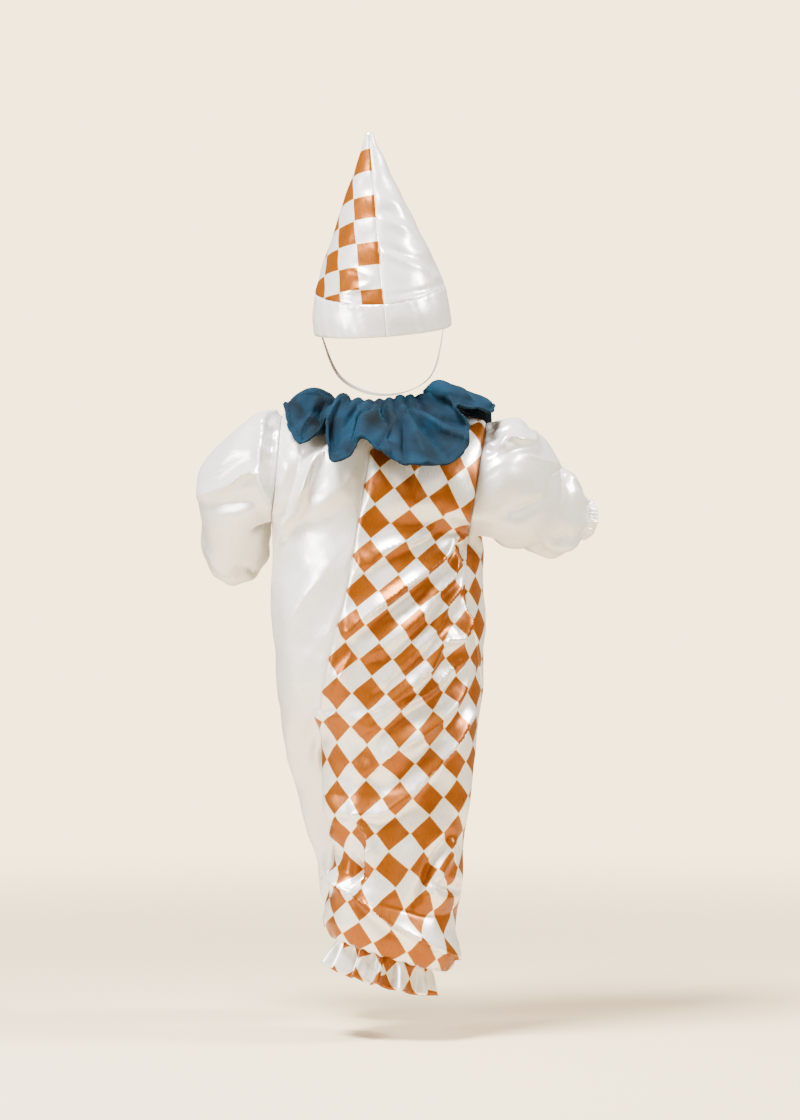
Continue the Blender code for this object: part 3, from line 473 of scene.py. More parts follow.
def satinSurface(tree, principled, clothMap, colour):
    # warp floats: fine streaks down the cloth, drawn about 0.7 mm apart, wider than the real threads
    stretch = addNode(tree, "ShaderNodeMapping", values={"Scale": (1500, 130, 1)}, links={"Vector": clothMap})
    floats = addNode(tree, "ShaderNodeTexNoise", values={"Scale": 1.0, "Detail": 2.0},
                     links={"Vector": stretch.outputs[0]})
    # slight puckers of pressed cloth, about 14 mm across
    puckers = addNode(tree, "ShaderNodeTexNoise", values={"Scale": 70.0, "Detail": 2.0, "Roughness": 0.45},
                      links={"Vector": clothMap})
    fine = addNode(tree, "ShaderNodeBump", values={"Strength": 0.05, "Distance": 0.0006},
                   links={"Height": floats.outputs[0]})
    bump = addNode(tree, "ShaderNodeBump", values={"Strength": 0.22, "Distance": 0.0022},
                   links={"Height": puckers.outputs[0], "Normal": fine.outputs[0]})
    tree.links.new(bump.outputs[0], principled.inputs["Normal"])
    gloss = addNode(tree, "ShaderNodeMapRange",
                    values={"From Min": 0.3, "From Max": 0.7, "To Min": 0.26, "To Max": 0.38},
                    links={"Value": floats.outputs[0]})
    tree.links.new(gloss.outputs[0], principled.inputs["Roughness"])
    shade = addNode(tree, "ShaderNodeMapRange",
                    values={"From Min": 0.3, "From Max": 0.7, "To Min": 0.94, "To Max": 1.0},
                    links={"Value": floats.outputs[0]})
    toned = addNode(tree, "ShaderNodeMix", {"data_type": "RGBA", "blend_type": "MULTIPLY"}, values={0: 1.0})
    tree.links.new(colour, toned.inputs[6])
    grey = addNode(tree, "ShaderNodeCombineColor", links={channel: shade.outputs[0] for channel in range(3)})
    tree.links.new(grey.outputs[0], toned.inputs[7])
    tree.links.new(toned.outputs[2], principled.inputs["Base Color"])


# the floats glint in the cloth's own colour, most of all where it is dyed
satinShader = {"Metallic": 0.3, "IOR": 1.5, "Specular IOR Level": 0.7}
dyedShader = {"Metallic": 0.5, "IOR": 1.5, "Specular IOR Level": 0.4}


def whiteSatin():
    # woven polyester satin: bright long highlights with grey-beige shade
    material, tree, principled = newMaterial("woven white satin", satinShader)
    clothMap = addNode(tree, "ShaderNodeUVMap", {"uv_map": "cloth"}).outputs[0]
    tint = addNode(tree, "ShaderNodeTexNoise", values={"Scale": 18.0, "Detail": 1.0}, links={"Vector": clothMap})
    ramp = addNode(tree, "ShaderNodeMix", {"data_type": "RGBA"}, links={0: tint.outputs[0]})
    ramp.inputs[6].default_value = linear("#F1F0EE")
    ramp.inputs[7].default_value = linear("#EAE8E6")
    satinSurface(tree, principled, clothMap, ramp.outputs[2])
    return material


check = dict(side=25.4, line=0.55)   # printed squares one inch wide with a thin cream outline


def checkSatin(name, turned, startAcross, startDown):
    # the same satin printed with ochre squares; turned puts them on point
    material, tree, principled = newMaterial(name, dyedShader)
    clothMap = addNode(tree, "ShaderNodeUVMap", {"uv_map": "cloth"}).outputs[0]
    placed = addNode(tree, "ShaderNodeVectorMath", {"operation": "SUBTRACT"},
                     {1: (startAcross * mm, startDown * mm, 0)}, {0: clothMap})
    split = addNode(tree, "ShaderNodeSeparateXYZ", links={0: placed.outputs[0]})
    axes = {0: split.outputs[0], 1: split.outputs[1]}
    side = check["side"] * mm
    if turned:
        # squares on point are counted along both diagonals
        both = addNode(tree, "ShaderNodeMath", {"operation": "ADD"}, links=axes)
        apart = addNode(tree, "ShaderNodeMath", {"operation": "SUBTRACT"}, links=axes)
        axes = {0: both.outputs[0], 1: apart.outputs[0]}
        side *= math.sqrt(2)
    floors, edges = {}, {}
    for i, axis in axes.items():
        cell = addNode(tree, "ShaderNodeMath", {"operation": "MULTIPLY_ADD"},
                       {1: 1 / side, 2: 0.5}, {0: axis})
        whole = addNode(tree, "ShaderNodeMath", {"operation": "FLOOR"}, links={0: cell.outputs[0]})
        toEdge = addNode(tree, "ShaderNodeMath", {"operation": "PINGPONG"}, {1: 0.5}, {0: cell.outputs[0]})
        floors[i] = whole.outputs[0]
        edges[i] = toEdge.outputs[0]
    count = addNode(tree, "ShaderNodeMath", {"operation": "ADD"}, links=floors)
    odd = addNode(tree, "ShaderNodeMath", {"operation": "PINGPONG"}, {1: 1.0}, {0: count.outputs[0]})
    nearEdge = addNode(tree, "ShaderNodeMath", {"operation": "MINIMUM"}, links=edges)
    line = addNode(tree, "ShaderNodeMath", {"operation": "LESS_THAN"},
                   {1: check["line"] / check["side"]}, {0: nearEdge.outputs[0]})
    dye = addNode(tree, "ShaderNodeTexNoise", values={"Scale": 60.0, "Detail": 2.0},
                  links={"Vector": clothMap})
    ochre = addNode(tree, "ShaderNodeMix", {"data_type": "RGBA"}, links={0: dye.outputs[0]})
    ochre.inputs[6].default_value = linear("#965000")
    ochre.inputs[7].default_value = linear("#824300")
    edged = addNode(tree, "ShaderNodeMix", {"data_type": "RGBA"},
                    links={0: line.outputs[0], 6: ochre.outputs[2]})
    edged.inputs[7].default_value = linear("#F0C682")
    printed = addNode(tree, "ShaderNodeMix", {"data_type": "RGBA"},
                      links={0: odd.outputs[0], 6: edged.outputs[2]})
    printed.inputs[7].default_value = linear("#F1EFEC")
    satinSurface(tree, principled, clothMap, printed.outputs[2])
    return material


def tealVelvet():
    # cut-pile velvet: deep blue-green that turns bright where the pile catches the light
    material, tree, principled = newMaterial("crushed teal velvet", {
        "Roughness": 0.85, "Metallic": 0.0, "IOR": 1.45, "Specular IOR Level": 0.2,
        "Sheen Weight": 0.26, "Sheen Roughness": 0.2, "Sheen Tint": linear("#0C7CA6"),
    })
    clothMap = addNode(tree, "ShaderNodeUVMap", {"uv_map": "cloth"}).outputs[0]
    place = addNode(tree, "ShaderNodeTexCoord").outputs["Object"]
    crushed = addNode(tree, "ShaderNodeTexNoise",
                      values={"Scale": 26.0, "Detail": 2.0, "Roughness": 0.5, "Distortion": 0.5},
                      links={"Vector": place})
    pile = addNode(tree, "ShaderNodeTexNoise", values={"Scale": 900.0, "Detail": 1.0},
                   links={"Vector": clothMap})
    ramp = addNode(tree, "ShaderNodeValToRGB", links={0: crushed.outputs[0]})
    ramp.color_ramp.elements[0].position, ramp.color_ramp.elements[0].color = 0.25, linear("#00080E")
    ramp.color_ramp.elements[1].position, ramp.color_ramp.elements[1].color = 0.74, linear("#012A40")
    tree.links.new(ramp.outputs[0], principled.inputs["Base Color"])
    fine = addNode(tree, "ShaderNodeBump", values={"Strength": 0.5, "Distance": 0.0008},
                   links={"Height": pile.outputs[0]})
    bump = addNode(tree, "ShaderNodeBump", values={"Strength": 0.3, "Distance": 0.002},
                   links={"Height": crushed.outputs[0], "Normal": fine.outputs[0]})
    tree.links.new(bump.outputs[0], principled.inputs["Normal"])
    return material


def whiteElastic():
    # woven elastic: matt, with an uneven weave about 0.7 mm across
    material, tree, principled = newMaterial("woven white elastic", {
        "Roughness": 0.7, "Metallic": 0.0, "Sheen Weight": 0.2,
    })
    principled.inputs["Base Color"].default_value = linear("#EFEEEC")
    place = addNode(tree, "ShaderNodeTexCoord").outputs["Object"]
    weave = addNode(tree, "ShaderNodeTexNoise", values={"Scale": 1400.0, "Detail": 1.0},
                    links={"Vector": place})
    bump = addNode(tree, "ShaderNodeBump", values={"Strength": 0.4, "Distance": 0.0004},
                   links={"Height": weave.outputs[0]})
    tree.links.new(bump.outputs[0], principled.inputs["Normal"])
    return material


def sewingThread():
    # spun polyester thread, slightly shiny
    material, tree, principled = newMaterial("spun white thread", {"Roughness": 0.5, "Metallic": 0.0})
    place = addNode(tree, "ShaderNodeTexCoord").outputs["Object"]
    twist = addNode(tree, "ShaderNodeTexNoise", values={"Scale": 2000.0}, links={"Vector": place})
    ramp = addNode(tree, "ShaderNodeMix", {"data_type": "RGBA"}, links={0: twist.outputs[0]})
    ramp.inputs[6].default_value = linear("#F4F3F1")
    ramp.inputs[7].default_value = linear("#DCDAD8")
    tree.links.new(ramp.outputs[2], principled.inputs["Base Color"])
    return material


satinWhite = whiteSatin()
satinCheck = checkSatin("ochre check satin on point", True, 15.6, 0.0)
satinFrill = checkSatin("ochre check satin frill", True, 6.0, 10.0)
satinHat = checkSatin("ochre check satin upright", False, 12.7, 4.8)
velvet = tealVelvet()
elastic = whiteElastic()
thread = sewingThread()
print("materials made")


# Making the romper

def makePanels():
    down = np.concatenate([
        np.linspace(0, trunk["v"][0], romper["armholeRows"], endpoint=False),
        np.linspace(trunk["v"][0], romper["crotch"], int(275 / romper["rowStep"]), endpoint=False),
        np.linspace(romper["crotch"], romper["hem"], int(217 / romper["rowStep"]) + 1),
    ])
    panels = {}
    for side in ("right", "left"):
        for face in ("back", "front"):
            share = np.linspace(0, 1, romper["columns"][face + side.capitalize()] + 1)
            panels[side, face] = panelSurface(side, face, share, down)
    joinSeams(panels, down)
    shaped, lowest = {}, int(np.argmin(abs(down - romper["crotch"])))
    for (side, face), points in panels.items():
        flip = (side == "right") == (face == "back")
        normal = gridNormals(points, False) * (-1 if flip else 1)
        share = np.linspace(0, 1, points.shape[1])
        creases, facing = (backCreases, -1) if face == "back" else (frontCreases, 1)
        moved = creaseShape(points, normal, creases, facing, 2.1)
        # shirring above the hem elastic
        girth = np.linalg.norm(np.diff(points, axis=1), axis=2).sum(axis=1)
        gathered = smoothStep((down - 560) / 60)[:, None]
        height = gathered * 1.5 * np.sin(share * girth[-1] / 9.0 * 2 * math.pi + np.sin(share * 17) * 1.2)
        height += (clothNoise(points, 55, 7) * 0.8 + clothNoise(points, 24, 8) * 0.25) * (1 - gathered)
        moved += normal * height[..., None]
        moved *= (smoothStep(share / 0.06) * smoothStep((1 - share) / 0.05))[None, :, None]
        fromSeam = share[None] * girth[:, None]
        moved += normal * (seamTurn(fromSeam) + seamTurn(girth[:, None] - fromSeam))[..., None]
        crotchNear = np.exp(-(((down - down[lowest]) / 14) ** 2))[:, None] * np.exp(-((fromSeam / 12) ** 2))
        shaped[side, face] = points + moved * (1 - crotchNear)[..., None]
    # creases never pull two sewn edges apart: side seams, inseams and centre seams
    sides, legsOnly, seatUp = slice(romper["armholeRows"], None), slice(lowest, None), slice(0, lowest)
    seams = [((side, "back"), (side, "front"), sides, -1) for side in ("right", "left")]
    seams += [((side, "back"), (side, "front"), legsOnly, 0) for side in ("right", "left")]
    seams += [(("right", face), ("left", face), seatUp, 0) for face in ("back", "front")]
    for one, other, rows, column in seams:
        edge = (shaped[one][rows, column] + shaped[other][rows, column]) / 2
        shaped[one][rows, column] = edge
        shaped[other][rows, column] = edge
    return down, panels, shaped


def grainMap(down, plain, creased):
    # where each point lies on the flat cloth: the grain runs down the centre seam as far as the seat, then
    # down the middle of the leg, and every row is measured across from there
    middle = plain.shape[1] * 2 // 5
    lengths = clothLengths(creased, False)[..., 0]
    # cloth can't shear sharply from row to row, so what the folds take up is evened over nearby rows
    reach = romper["evenRows"]
    padded = np.pad(lengths, ((reach, reach), (0, 0)), mode="edge")
    lengths = np.mean([padded[i:i + len(lengths)] for i in range(2 * reach + 1)], axis=0)
    across = lengths.copy()
    deep = np.zeros(len(down))
    column, atColumn = 0, 0.0
    for row in range(1, len(down)):
        if column == 0 and down[row] > 292:
            column, atColumn = middle, across[row - 1, middle]    # from here the seam curves under the seat
        step = plain[row, column] - plain[row - 1, column]
        tangent = unit(plain[row, column + 1] - plain[row, column])
        slip = step @ tangent if column else 0.0
        atColumn += slip
        deep[row] = deep[row - 1] + math.sqrt(max(step @ step - slip * slip, 1e-6))
        across[row] = lengths[row] - lengths[row, column] + atColumn
    startDown = np.interp(86.5, -plain[:, 0, 2], deep)    # an ochre square is centred here, beside the seam
    return np.stack([across, np.repeat((deep - startDown)[:, None], plain.shape[1], axis=1)], axis=-1)


def makeRomper():
    down, panels, shaped = makePanels()
    for (side, face), points in shaped.items():
        flip = (side == "right") == (face == "back")
        lengths = grainMap(down, panels[side, face], points)
        name = f"{face}_{side}"
        material = satinCheck if side == "right" else satinWhite
        panel = clothPiece(name + "_satin", points, False, flip, romper["satin"], material, lengths)
        finishPiece(panel, [name])
    print("romper panels made")
    return shaped


sleeves = dict(
    rowStep=2.4, cuffGathers=10, headGathers=26, length=228.0, cuff=212.0,
    right=table(
        "v    x    y    z    up across gather hold",
        (20, 115, -20, -78, 64, 47, 0.9, 0.95),
        (60, 129, 4, -86, 64, 44, 0.0, 0.45),
        (105, 143, 40, -96, 59, 41, 0.0, 0.15),
        (123, 152, 59, -107, 45, 36, 0.3, 0.05),
        (148, 165, 80, -111, 49, 38, 0.8, 0.00),
        (190, 184, 110, -118, 38, 32, 1.8, 0.00),
        (212, 201, 124, -120, 20, 19, 1.4, 0.00),
        (228, 208, 130, -121, 22, 21, 0.5, 0.00),
    ),
    left=table(
        "v    x     y    z     up across gather hold",
        (20, -132, -3, -69, 57, 44, 0.9, 0.90),
        (60, -159, 22, -95, 54, 38, 0.0, 0.20),
        (105, -158, 58, -123, 52, 36, 0.0, 0.00),
        (148, -160, 92, -139, 54, 36, 0.6, 0.00),
        (190, -157, 122, -147, 38, 31, 1.8, 0.00),
        (212, -155, 137, -150, 20, 19, 1.4, 0.00),
        (228, -154, 148, -153, 22, 21, 0.5, 0.00),
    ),
)
sleeveRows = np.concatenate([
    np.linspace(0, 12, 8, endpoint=False),      # closer where the head is sewn in
    np.arange(12, sleeves["length"], sleeves["rowStep"]),
    [sleeves["length"]],
])


def sleeveSurface(side, rim, at):
    rings = sleeves[side]
    centres = np.stack([rings["x"], rings["y"], rings["z"]], axis=-1)
    tangents = unit(np.gradient(np.vstack([rim.mean(axis=0), centres]), axis=0)[1:])
    quarter = len(rim) // 4
    upward = unit(rim[0] - rim[2 * quarter])
    facing = unit(np.cross(rim[quarter] - rim[3 * quarter], upward) * (-1 if side == "right" else 1))
    turn = np.linspace(0, 2 * math.pi, len(rim), endpoint=False)
    stations = [rim]
    for i, tangent in enumerate(tangents):
        tangent = unit(tangent * (1 - rings["hold"][i]) + facing * rings["hold"][i])
        up = unit(upward - tangent * np.dot(upward, tangent))
        outer = np.cross(tangent, up) if side == "right" else np.cross(up, tangent)
        gather = 1 + rings["gather"][i] * np.cos(sleeves["cuffGathers"] * turn) / rings["up"][i]
        stations.append(
            centres[i]
            + np.outer(rings["up"][i] * np.cos(turn) * gather, up)
            + np.outer(rings["across"][i] * np.sin(turn) * gather, outer)
        )
    return spline([0, *rings["v"]], np.array(stations), at), turn


def makeSleeves(shaped):
    made = {}
    for side in ("right", "left"):
        rows = romper["armholeRows"]
        ring = np.vstack([shaped[side, "back"][: rows + 1, -1], shaped[side, "front"][1:rows, -1][::-1]])
        rim = np.stack([ring, (ring + np.roll(ring, -1, axis=0)) / 2], axis=1).reshape(-1, 3)
        at = sleeveRows
        points, turn = sleeveSurface(side, rim, at)
        flip = side == "left"
        normal = gridNormals(points, True) * (-1 if flip else 1)
        moved = creaseShape(points, normal, sleeveBackCreases, -1, 2.0)
        moved += creaseShape(points, normal, sleeveFrontCreases, 1, 1.8)
        # little puffs where the head is gathered into the armhole, most over the shoulder
        nearHead = smoothStep(at / 5) * np.exp(-((at / 20) ** 2))
        head = nearHead[:, None] * smoothStep((np.cos(turn) + 0.5) / 1.2)[None]
        height = head * 1.3 * np.sin(turn * sleeves["headGathers"] + 1.3 * np.sin(3 * turn))[None]
        # fine gathers run into the cuff elastic
        cuff = np.exp(-(((at - sleeves["cuff"]) / 20) ** 2))[:, None]
        height += cuff * 0.6 * np.sin(turn * 31 + 1.5 * np.sin(5 * turn))[None]
        height += clothNoise(points, 60, 11) * 0.6 + clothNoise(points, 22, 12) * 0.12
        moved = (moved + normal * height[..., None]) * smoothStep(at / 7)[:, None, None]
        points = points + moved + normal * seamTurn(at)[:, None, None]
        sleeve = clothPiece(f"sleeve_{side}_satin", points, True, flip, romper["satin"], satinWhite)
        finishPiece(sleeve, [f"sleeve_{side}"])
        made[side] = points
    print("sleeves made")
    return made


frills = dict(
    waves=13, columns=26, rows=14,
    right=table(
        "x    y    z     halfWidth halfDepth roll  wave",
        (-2, -32, -553, 38.7, 35.7, -0.30, 0.5),
        (-5, -33, -573, 46, 43, -0.29, 4.6),
        (-9, -34, -593, 52, 49, -0.28, 6.6),
    ),
    left=table(
        "x    y    z     halfWidth halfDepth roll wave",
        (-20, 112, -513, 31.6, 31.6, 0.08, 0.5),
        (-20, 113, -530, 38, 37, 0.08, 2.8),
        (-20, 115, -546, 45, 44, 0.08, 4.4),
    ),
    pitch=dict(right=0.0, left=0.2),
)


def makeFrills():
    made = {}
    cloths = dict(right=(satinFrill, "ochre_check_satin"), left=(satinWhite, "white_satin"))
    for side, (material, slot) in cloths.items():
        rings = frills[side]
        turn = np.linspace(0, 2 * math.pi, frills["waves"] * frills["columns"], endpoint=False)
        at = np.linspace(0, 2, frills["rows"])
        row = {name: spline([0, 1, 2], rings[name], at)[:, None] for name in rings}
        # pleats pinch to narrow crests and open out below, none quite like the next
        uneven = frills["waves"] * turn + 0.5 * np.sin(3 * turn + 1) + 0.3 * np.sin(5 * turn)
        crest = (np.cos(uneven) + 0.28 * np.cos(2 * uneven + 0.8))[None]
        wave = row["wave"] * crest * (0.9 + 0.18 * np.sin(4 * turn + 2)[None])
        dx = (row["halfWidth"] + wave) * np.sin(turn)
        dy = -(row["halfDepth"] + wave) * np.cos(turn)
        dz = row["roll"] * dx + frills["pitch"][side] * dy + 0.3 * wave
        points = np.stack([row["x"] + dx, row["y"] + dy, row["z"] + dz], axis=-1)
        size = (0.40, 0.041) if side == "right" else (0.36, 0.036)
        flat = clothLengths(points, True)
        # the check keeps its place on the gathered strip
        flat[..., 0] = turn / (2 * math.pi) * size[0] / mm
        piece = clothPiece(f"hem_frill_{side}_satin", points, True, True, romper["satin"], material, flat)
        finishPiece(piece, [f"hem_frill_{side}"])
        made[side] = points
    print("frills made")
    return made


ruff = dict(columns=704, rows=44, velvet=2.4, gathers=26, tuck=1.1, start=0.9, wall=2.6, seam=0.3)
ruffEdge = table(
    "bearing reach z rise",
    (2, 119, -63, 3), (14, 123, -69, 4), (30, 125, -66, 8), (43, 121, -44, 14), (45, 112, -26, 16),
    (42, 104, -9, 16), (56, 108, -10, 18), (70, 113, -13, 17), (80, 111, -8, 13), (93, 106, -11, 10),
    (106, 110, -28, 7), (120, 108, -38, 6), (132, 102, -22, 9), (144, 98, -13, 10), (156, 101, -30, 7),
    (168, 106, -44, 4), (182, 106, -44, 4), (194, 100, -26, 8), (205, 98, -14, 10), (217, 102, -32, 7),
    (230, 107, -42, 6), (243, 105, -28, 10), (254, 101, -9, 14), (265, 105, -5, 14), (277, 108, -4, 15),
    (289, 111, -13, 18), (300, 115, -33, 18), (309, 114, -47, 13), (317, 106, -36, 11), (321, 99, -18, 12),
    (326, 106, -44, 8), (333, 120, -66, 5), (341, 116, -60, 4), (346, 107, -42, 4), (354, 110, -50, 3),
)
ruffCreases = [
    # the left lobe and the dark fold that cuts into it
    ([(-100, -10), (-84, 2), (-62, 4)], 6, 7, 3.0, 0.3),
    ([(-96, -26), (-84, -14), (-66, -4)], 5, 6, -2.6, 0.0),
    ([(-78, -12), (-86, -30), (-88, -44)], 6, 7, 3.4, 0.3),
    ([(-66, -2), (-70, -20), (-66, -42)], 3, 5, -5.0, 0.0),
    # the bright strip between two deep folds
    ([(-48, 2), (-54, -22), (-52, -50)], 3, 5, -4.4, 0.0),
    ([(-30, 0), (-26, -22), (-36, -48)], 8, 10, 4.6, 0.2),
    ([(-10, -4), (2, -26), (-12, -52)], 3, 5, -5.2, 0.0),
    # the large lobe: folds that spread from one place at the neck
    ([(16, -12), (-2, -38), (2, -64)], 4, 7, 4.0, 0.3),
    ([(18, -16), (16, -40), (18, -66)], 3, 5, -3.4, 0.0),
    ([(20, -16), (30, -42), (38, -66)], 4, 6, 3.6, 0.3),
    ([(24, -16), (44, -38), (60, -58)], 3, 5, -3.6, 0.0),
    ([(26, -12), (52, -30), (80, -42)], 4, 6, 4.2, 0.4),
    ([(30, -6), (54, -18), (80, -26)], 3, 5, -3.6, 0.0),
    ([(14, 2), (46, 8), (74, 2)], 6, 8, 4.0, 0.3),
    ([(92, -4), (106, -6)], 5, 5, 2.0, 0.2),
]


def makeRuff():
    bearing = np.radians(ruffEdge["bearing"])
    reach = ruffEdge["reach"]
    edge = np.stack([reach * np.sin(bearing), -reach * np.cos(bearing), ruffEdge["z"]], axis=-1)
    loop = np.vstack([edge[-2:], edge, edge[:3]])
    length = np.concatenate([[0], np.cumsum(np.linalg.norm(np.diff(loop, axis=0), axis=1))])
    start, end = length[2], length[2 + len(edge)]
    share = np.linspace(0, 1, ruff["columns"], endpoint=False)
    outer = spline(length, loop, start + (end - start) * share)
    rises = np.concatenate([ruffEdge["rise"][-2:], ruffEdge["rise"], ruffEdge["rise"][:3]])
    rise = spline(length, rises, start + (end - start) * share)
    unwound = np.unwrap(np.arctan2(outer[:, 0], -outer[:, 1]))
    even = unwound[0] + 2 * math.pi * share
    root = neckPoint(np.degrees(0.8 * even + 0.2 * unwound))
    fine = np.cos(2 * math.pi * ruff["gathers"] * share + 0.8 * np.sin(2 * math.pi * 5 * share))
    rows = []
    for r in np.linspace(0, 1, ruff["rows"]):
        out = smoothStep(0.15 + 0.85 * r) - smoothStep(0.15) * (1 - smoothStep(r / 0.12))
        base = root + (outer - root) * out
        base[:, 2] += rise * math.sin(math.pi * min(r * 1.25, 1)) * (1 - 0.2 * r)
        base[:, 2] += ruff["start"] + ruff["wall"] / 2 + ruff["seam"]
        base[:, 2] += ruff["tuck"] * fine * (1 - smoothStep(2.5 * r))
        rows.append(base)
    points = np.array(rows)
    normal = -gridNormals(points, True)
    moved = creaseShape(points, normal, ruffCreases, -1, 1.9)
    radial = np.linspace(0, 1, ruff["rows"])[:, None]
    # gathers spread from the neckline and die out half way
    height = 2.2 * fine[None] * np.sin(math.pi * np.clip(radial * 1.8, 0, 1)) * smoothStep(radial / 0.08)
    height += clothNoise(points, 30, 3) * 1.1 * smoothStep(radial / 0.2)
    moved = (moved + normal * height[..., None]) * smoothStep((1 - radial) / 0.06)[..., None]
    half = ruff["velvet"] / 2
    rim = np.sqrt(np.clip(1 - np.clip((radial - 0.965) / 0.035, 0, 1) ** 2, 0.02, 1))   # folded edge, rounded
    points = points + moved
    normal = -gridNormals(points, True)
    top = points + normal * (half * rim)[..., None]
    under = points - normal * (half * rim)[..., None]
    piece = clothPiece("ruff_velvet", top, True, True, ruff["velvet"], velvet, inner=under)
    finishPiece(piece, ["ruff"])
    print("ruff made")
    return top


hat = dict(
    origin=(-5.7, 8.0, 74.5), lean=7.5, tilt=-3.9, seam=3.0,
    dip=9.0, dipFade=90.0, bandTop=42.0, band=2.0, cone=0.9,
    bandProfile=table(
        "height z width depth",
        (0.0, 0, 71.6, 83.0), (21.0, 0, 70.4, 82.0), (42.0, 0, 67.6, 79.0),
    ),
    coneProfile=table(
        "height z width depth",
        (42.0, 0, 67.6, 79.0), (54.0, 0, 63.4, 73.5), (84.0, 0, 51.5, 59.0), (120.0, 0, 36.5, 41.0),
        (165.0, 0, 18.0, 20.0), (190.0, 0, 8.0, 8.4), (199.0, 0, 4.8, 4.8), (203.0, 0, 3.6, 3.6),
        (204.2, 0, 1.8, 1.8),
    ),
)
hatMatrix = (
    Matrix.Translation(Vector(hat["origin"]))
    @ Matrix.Rotation(math.radians(hat["tilt"]), 4, "Y")
    @ Matrix.Rotation(math.radians(hat["lean"]), 4, "X")
)
hatCreases = [
    # the white half: hollows that run down and outwards from the seam, and the pinch over the band
    ([(-7, 158), (18, 148), (42, 140), (56, 122)], 4, 7, -2.6, 0.0),
    ([(-8, 150), (20, 140), (46, 128)], 5, 7, 2.4, 0.3),
    ([(-2, 182), (10, 178), (22, 168)], 5, 6, 1.8, 0.2),
    ([(0, 205), (8, 200), (14, 190)], 4, 5, 1.4, 0.2),
    ([(-12, 190), (-2, 194), (8, 186)], 4, 5, -1.2, 0.0),
    ([(2, 106), (30, 110), (56, 118)], 3, 4, -1.4, 0.0),
    # the checked half: two crimps in the lower squares
    ([(-44, 108), (-30, 112), (-20, 116)], 3, 4, 1.8, 0.4),
    ([(-38, 132), (-26, 128), (-18, 124)], 4, 4, 1.0, 0.2),
]
hatFrontCreases = [
    ([(-40, 124), (-16, 140), (6, 148)], 5, 7, 2.2, 0.3),
    ([(44, 118), (24, 136), (4, 146)], 5, 7, -2.2, 0.0),
    ([(14, 176), (2, 184), (-8, 190)], 4, 6, 1.6, 0.2),
]


def hatSurface(profile, heights, bearings):
    width = spline(profile["height"], profile["width"], heights)[:, None]
    depth = spline(profile["height"], profile["depth"], heights)[:, None]
    a = np.radians(bearings)[None, :]
    top = hat["bandTop"]
    share = np.where(heights < top, heights / top, 1 - smoothStep((heights - top) / hat["dipFade"]))[:, None]
    level = heights[:, None] - hat["dip"] * share * np.cos(a) ** 2
    points = np.stack([width * np.sin(a), -depth * np.cos(a), level], axis=-1)
    m = np.array(hatMatrix)
    return points @ m[:3, :3].T + m[:3, 3]


def makeHat():
    heights = np.concatenate([[42.0, 43.0, 44.4], np.arange(46.5, 198, 2.4), [199, 201, 203, 203.8, 204.2]])
    heights = heights[::-1]
    half = 180 * np.concatenate([[0, 0.008, 0.02], np.linspace(0.04, 0.96, 62), [0.98, 0.992, 1]])
    for side, sign, flip, material, slot in (
        ("right", 1, True, satinWhite, "white_satin"), ("left", -1, False, satinHat, "ochre_check_satin"),
    ):
        points = hatSurface(hat["coneProfile"], heights, hat["seam"] + sign * half)
        normal = gridNormals(points, False) * (-1 if flip else 1)
        moved = creaseShape(points, normal, hatCreases, -1, 1.9)
        moved += creaseShape(points, normal, hatFrontCreases, 1, 1.3)
        height = clothNoise(points, 34, 5) * 0.6
        girth = np.linalg.norm(np.diff(points, axis=1), axis=2).sum(axis=1)[:, None]
        along = (half / 180)[None] * girth
        inner = smoothStep(along / 5) * smoothStep((girth - along) / 5)
        inner *= (smoothStep((heights - 42) / 4) * smoothStep((204 - heights) / 16))[:, None]
        moved = (moved + normal * height[..., None]) * inner[..., None]
        dip = 0.8 * (np.exp(-((along / 1.6) ** 2)) + np.exp(-(((girth - along) / 1.6) ** 2)))
        dip *= smoothStep((203 - heights) / 8)[:, None]
        height = -dip - 1.0 * np.exp(-(((heights - 42) / 1.6) ** 2))[:, None]
        points = points + moved + normal * height[..., None]
        # the cone laid flat: squares stand upright on its back seam
        fromTip = clothLengths(points, False)[:, :1, 1] + 2 + np.zeros_like(along)
        opened = along / fromTip
        flat = np.stack([fromTip * np.sin(opened), fromTip[-1, 0] - fromTip * np.cos(opened)], axis=-1)
        cone = clothPiece(f"hat_cone_{side}_satin", points, False, flip, hat["cone"], material, flat)
        finishPiece(cone, [f"hat_cone_{side}"])
    at = np.concatenate([[0, 0.7, 1.6], np.linspace(3, 39, 16), [40.4, 41.3, 42]])[::-1]
    around = np.concatenate([[0, 0.002, 0.005], np.linspace(0.01, 0.99, 200), [0.995, 0.998, 1]])
    bearings = hat["seam"] + 360 * around
    points = hatSurface(hat["bandProfile"], at, bearings)
    normal = -gridNormals(points, False)
    share = (bearings - hat["seam"])[None] / 360
    # the folded band puckers in slanting dents along both its edges
    pucker = np.sin(2 * math.pi * (share * 37 + 0.4 * np.sin(2 * math.pi * share * 3)) + at[:, None] * 0.12)
    height = 0.2 * pucker * (0.35 + np.exp(-(((at - 3) / 9) ** 2)) + np.exp(-(((at - 40) / 7) ** 2)))[:, None]
    height += clothNoise(points, 26, 9) * 0.4
    fromSeam = np.minimum(share, 1 - share) * 470
    height *= smoothStep(fromSeam / 4)
    height -= 0.9 * np.exp(-((fromSeam / 1.5) ** 2)) + 0.9 * np.exp(-(((at - 42) / 1.5) ** 2))[:, None]
    height -= 0.9 * np.exp(-((at / 1.1) ** 2))[:, None]
    points = points + normal * height[..., None]
    band = clothPiece("hat_band_satin", points, False, True, hat["band"], satinWhite)
    finishPiece(band, ["hat_band"])
    print("hat made")


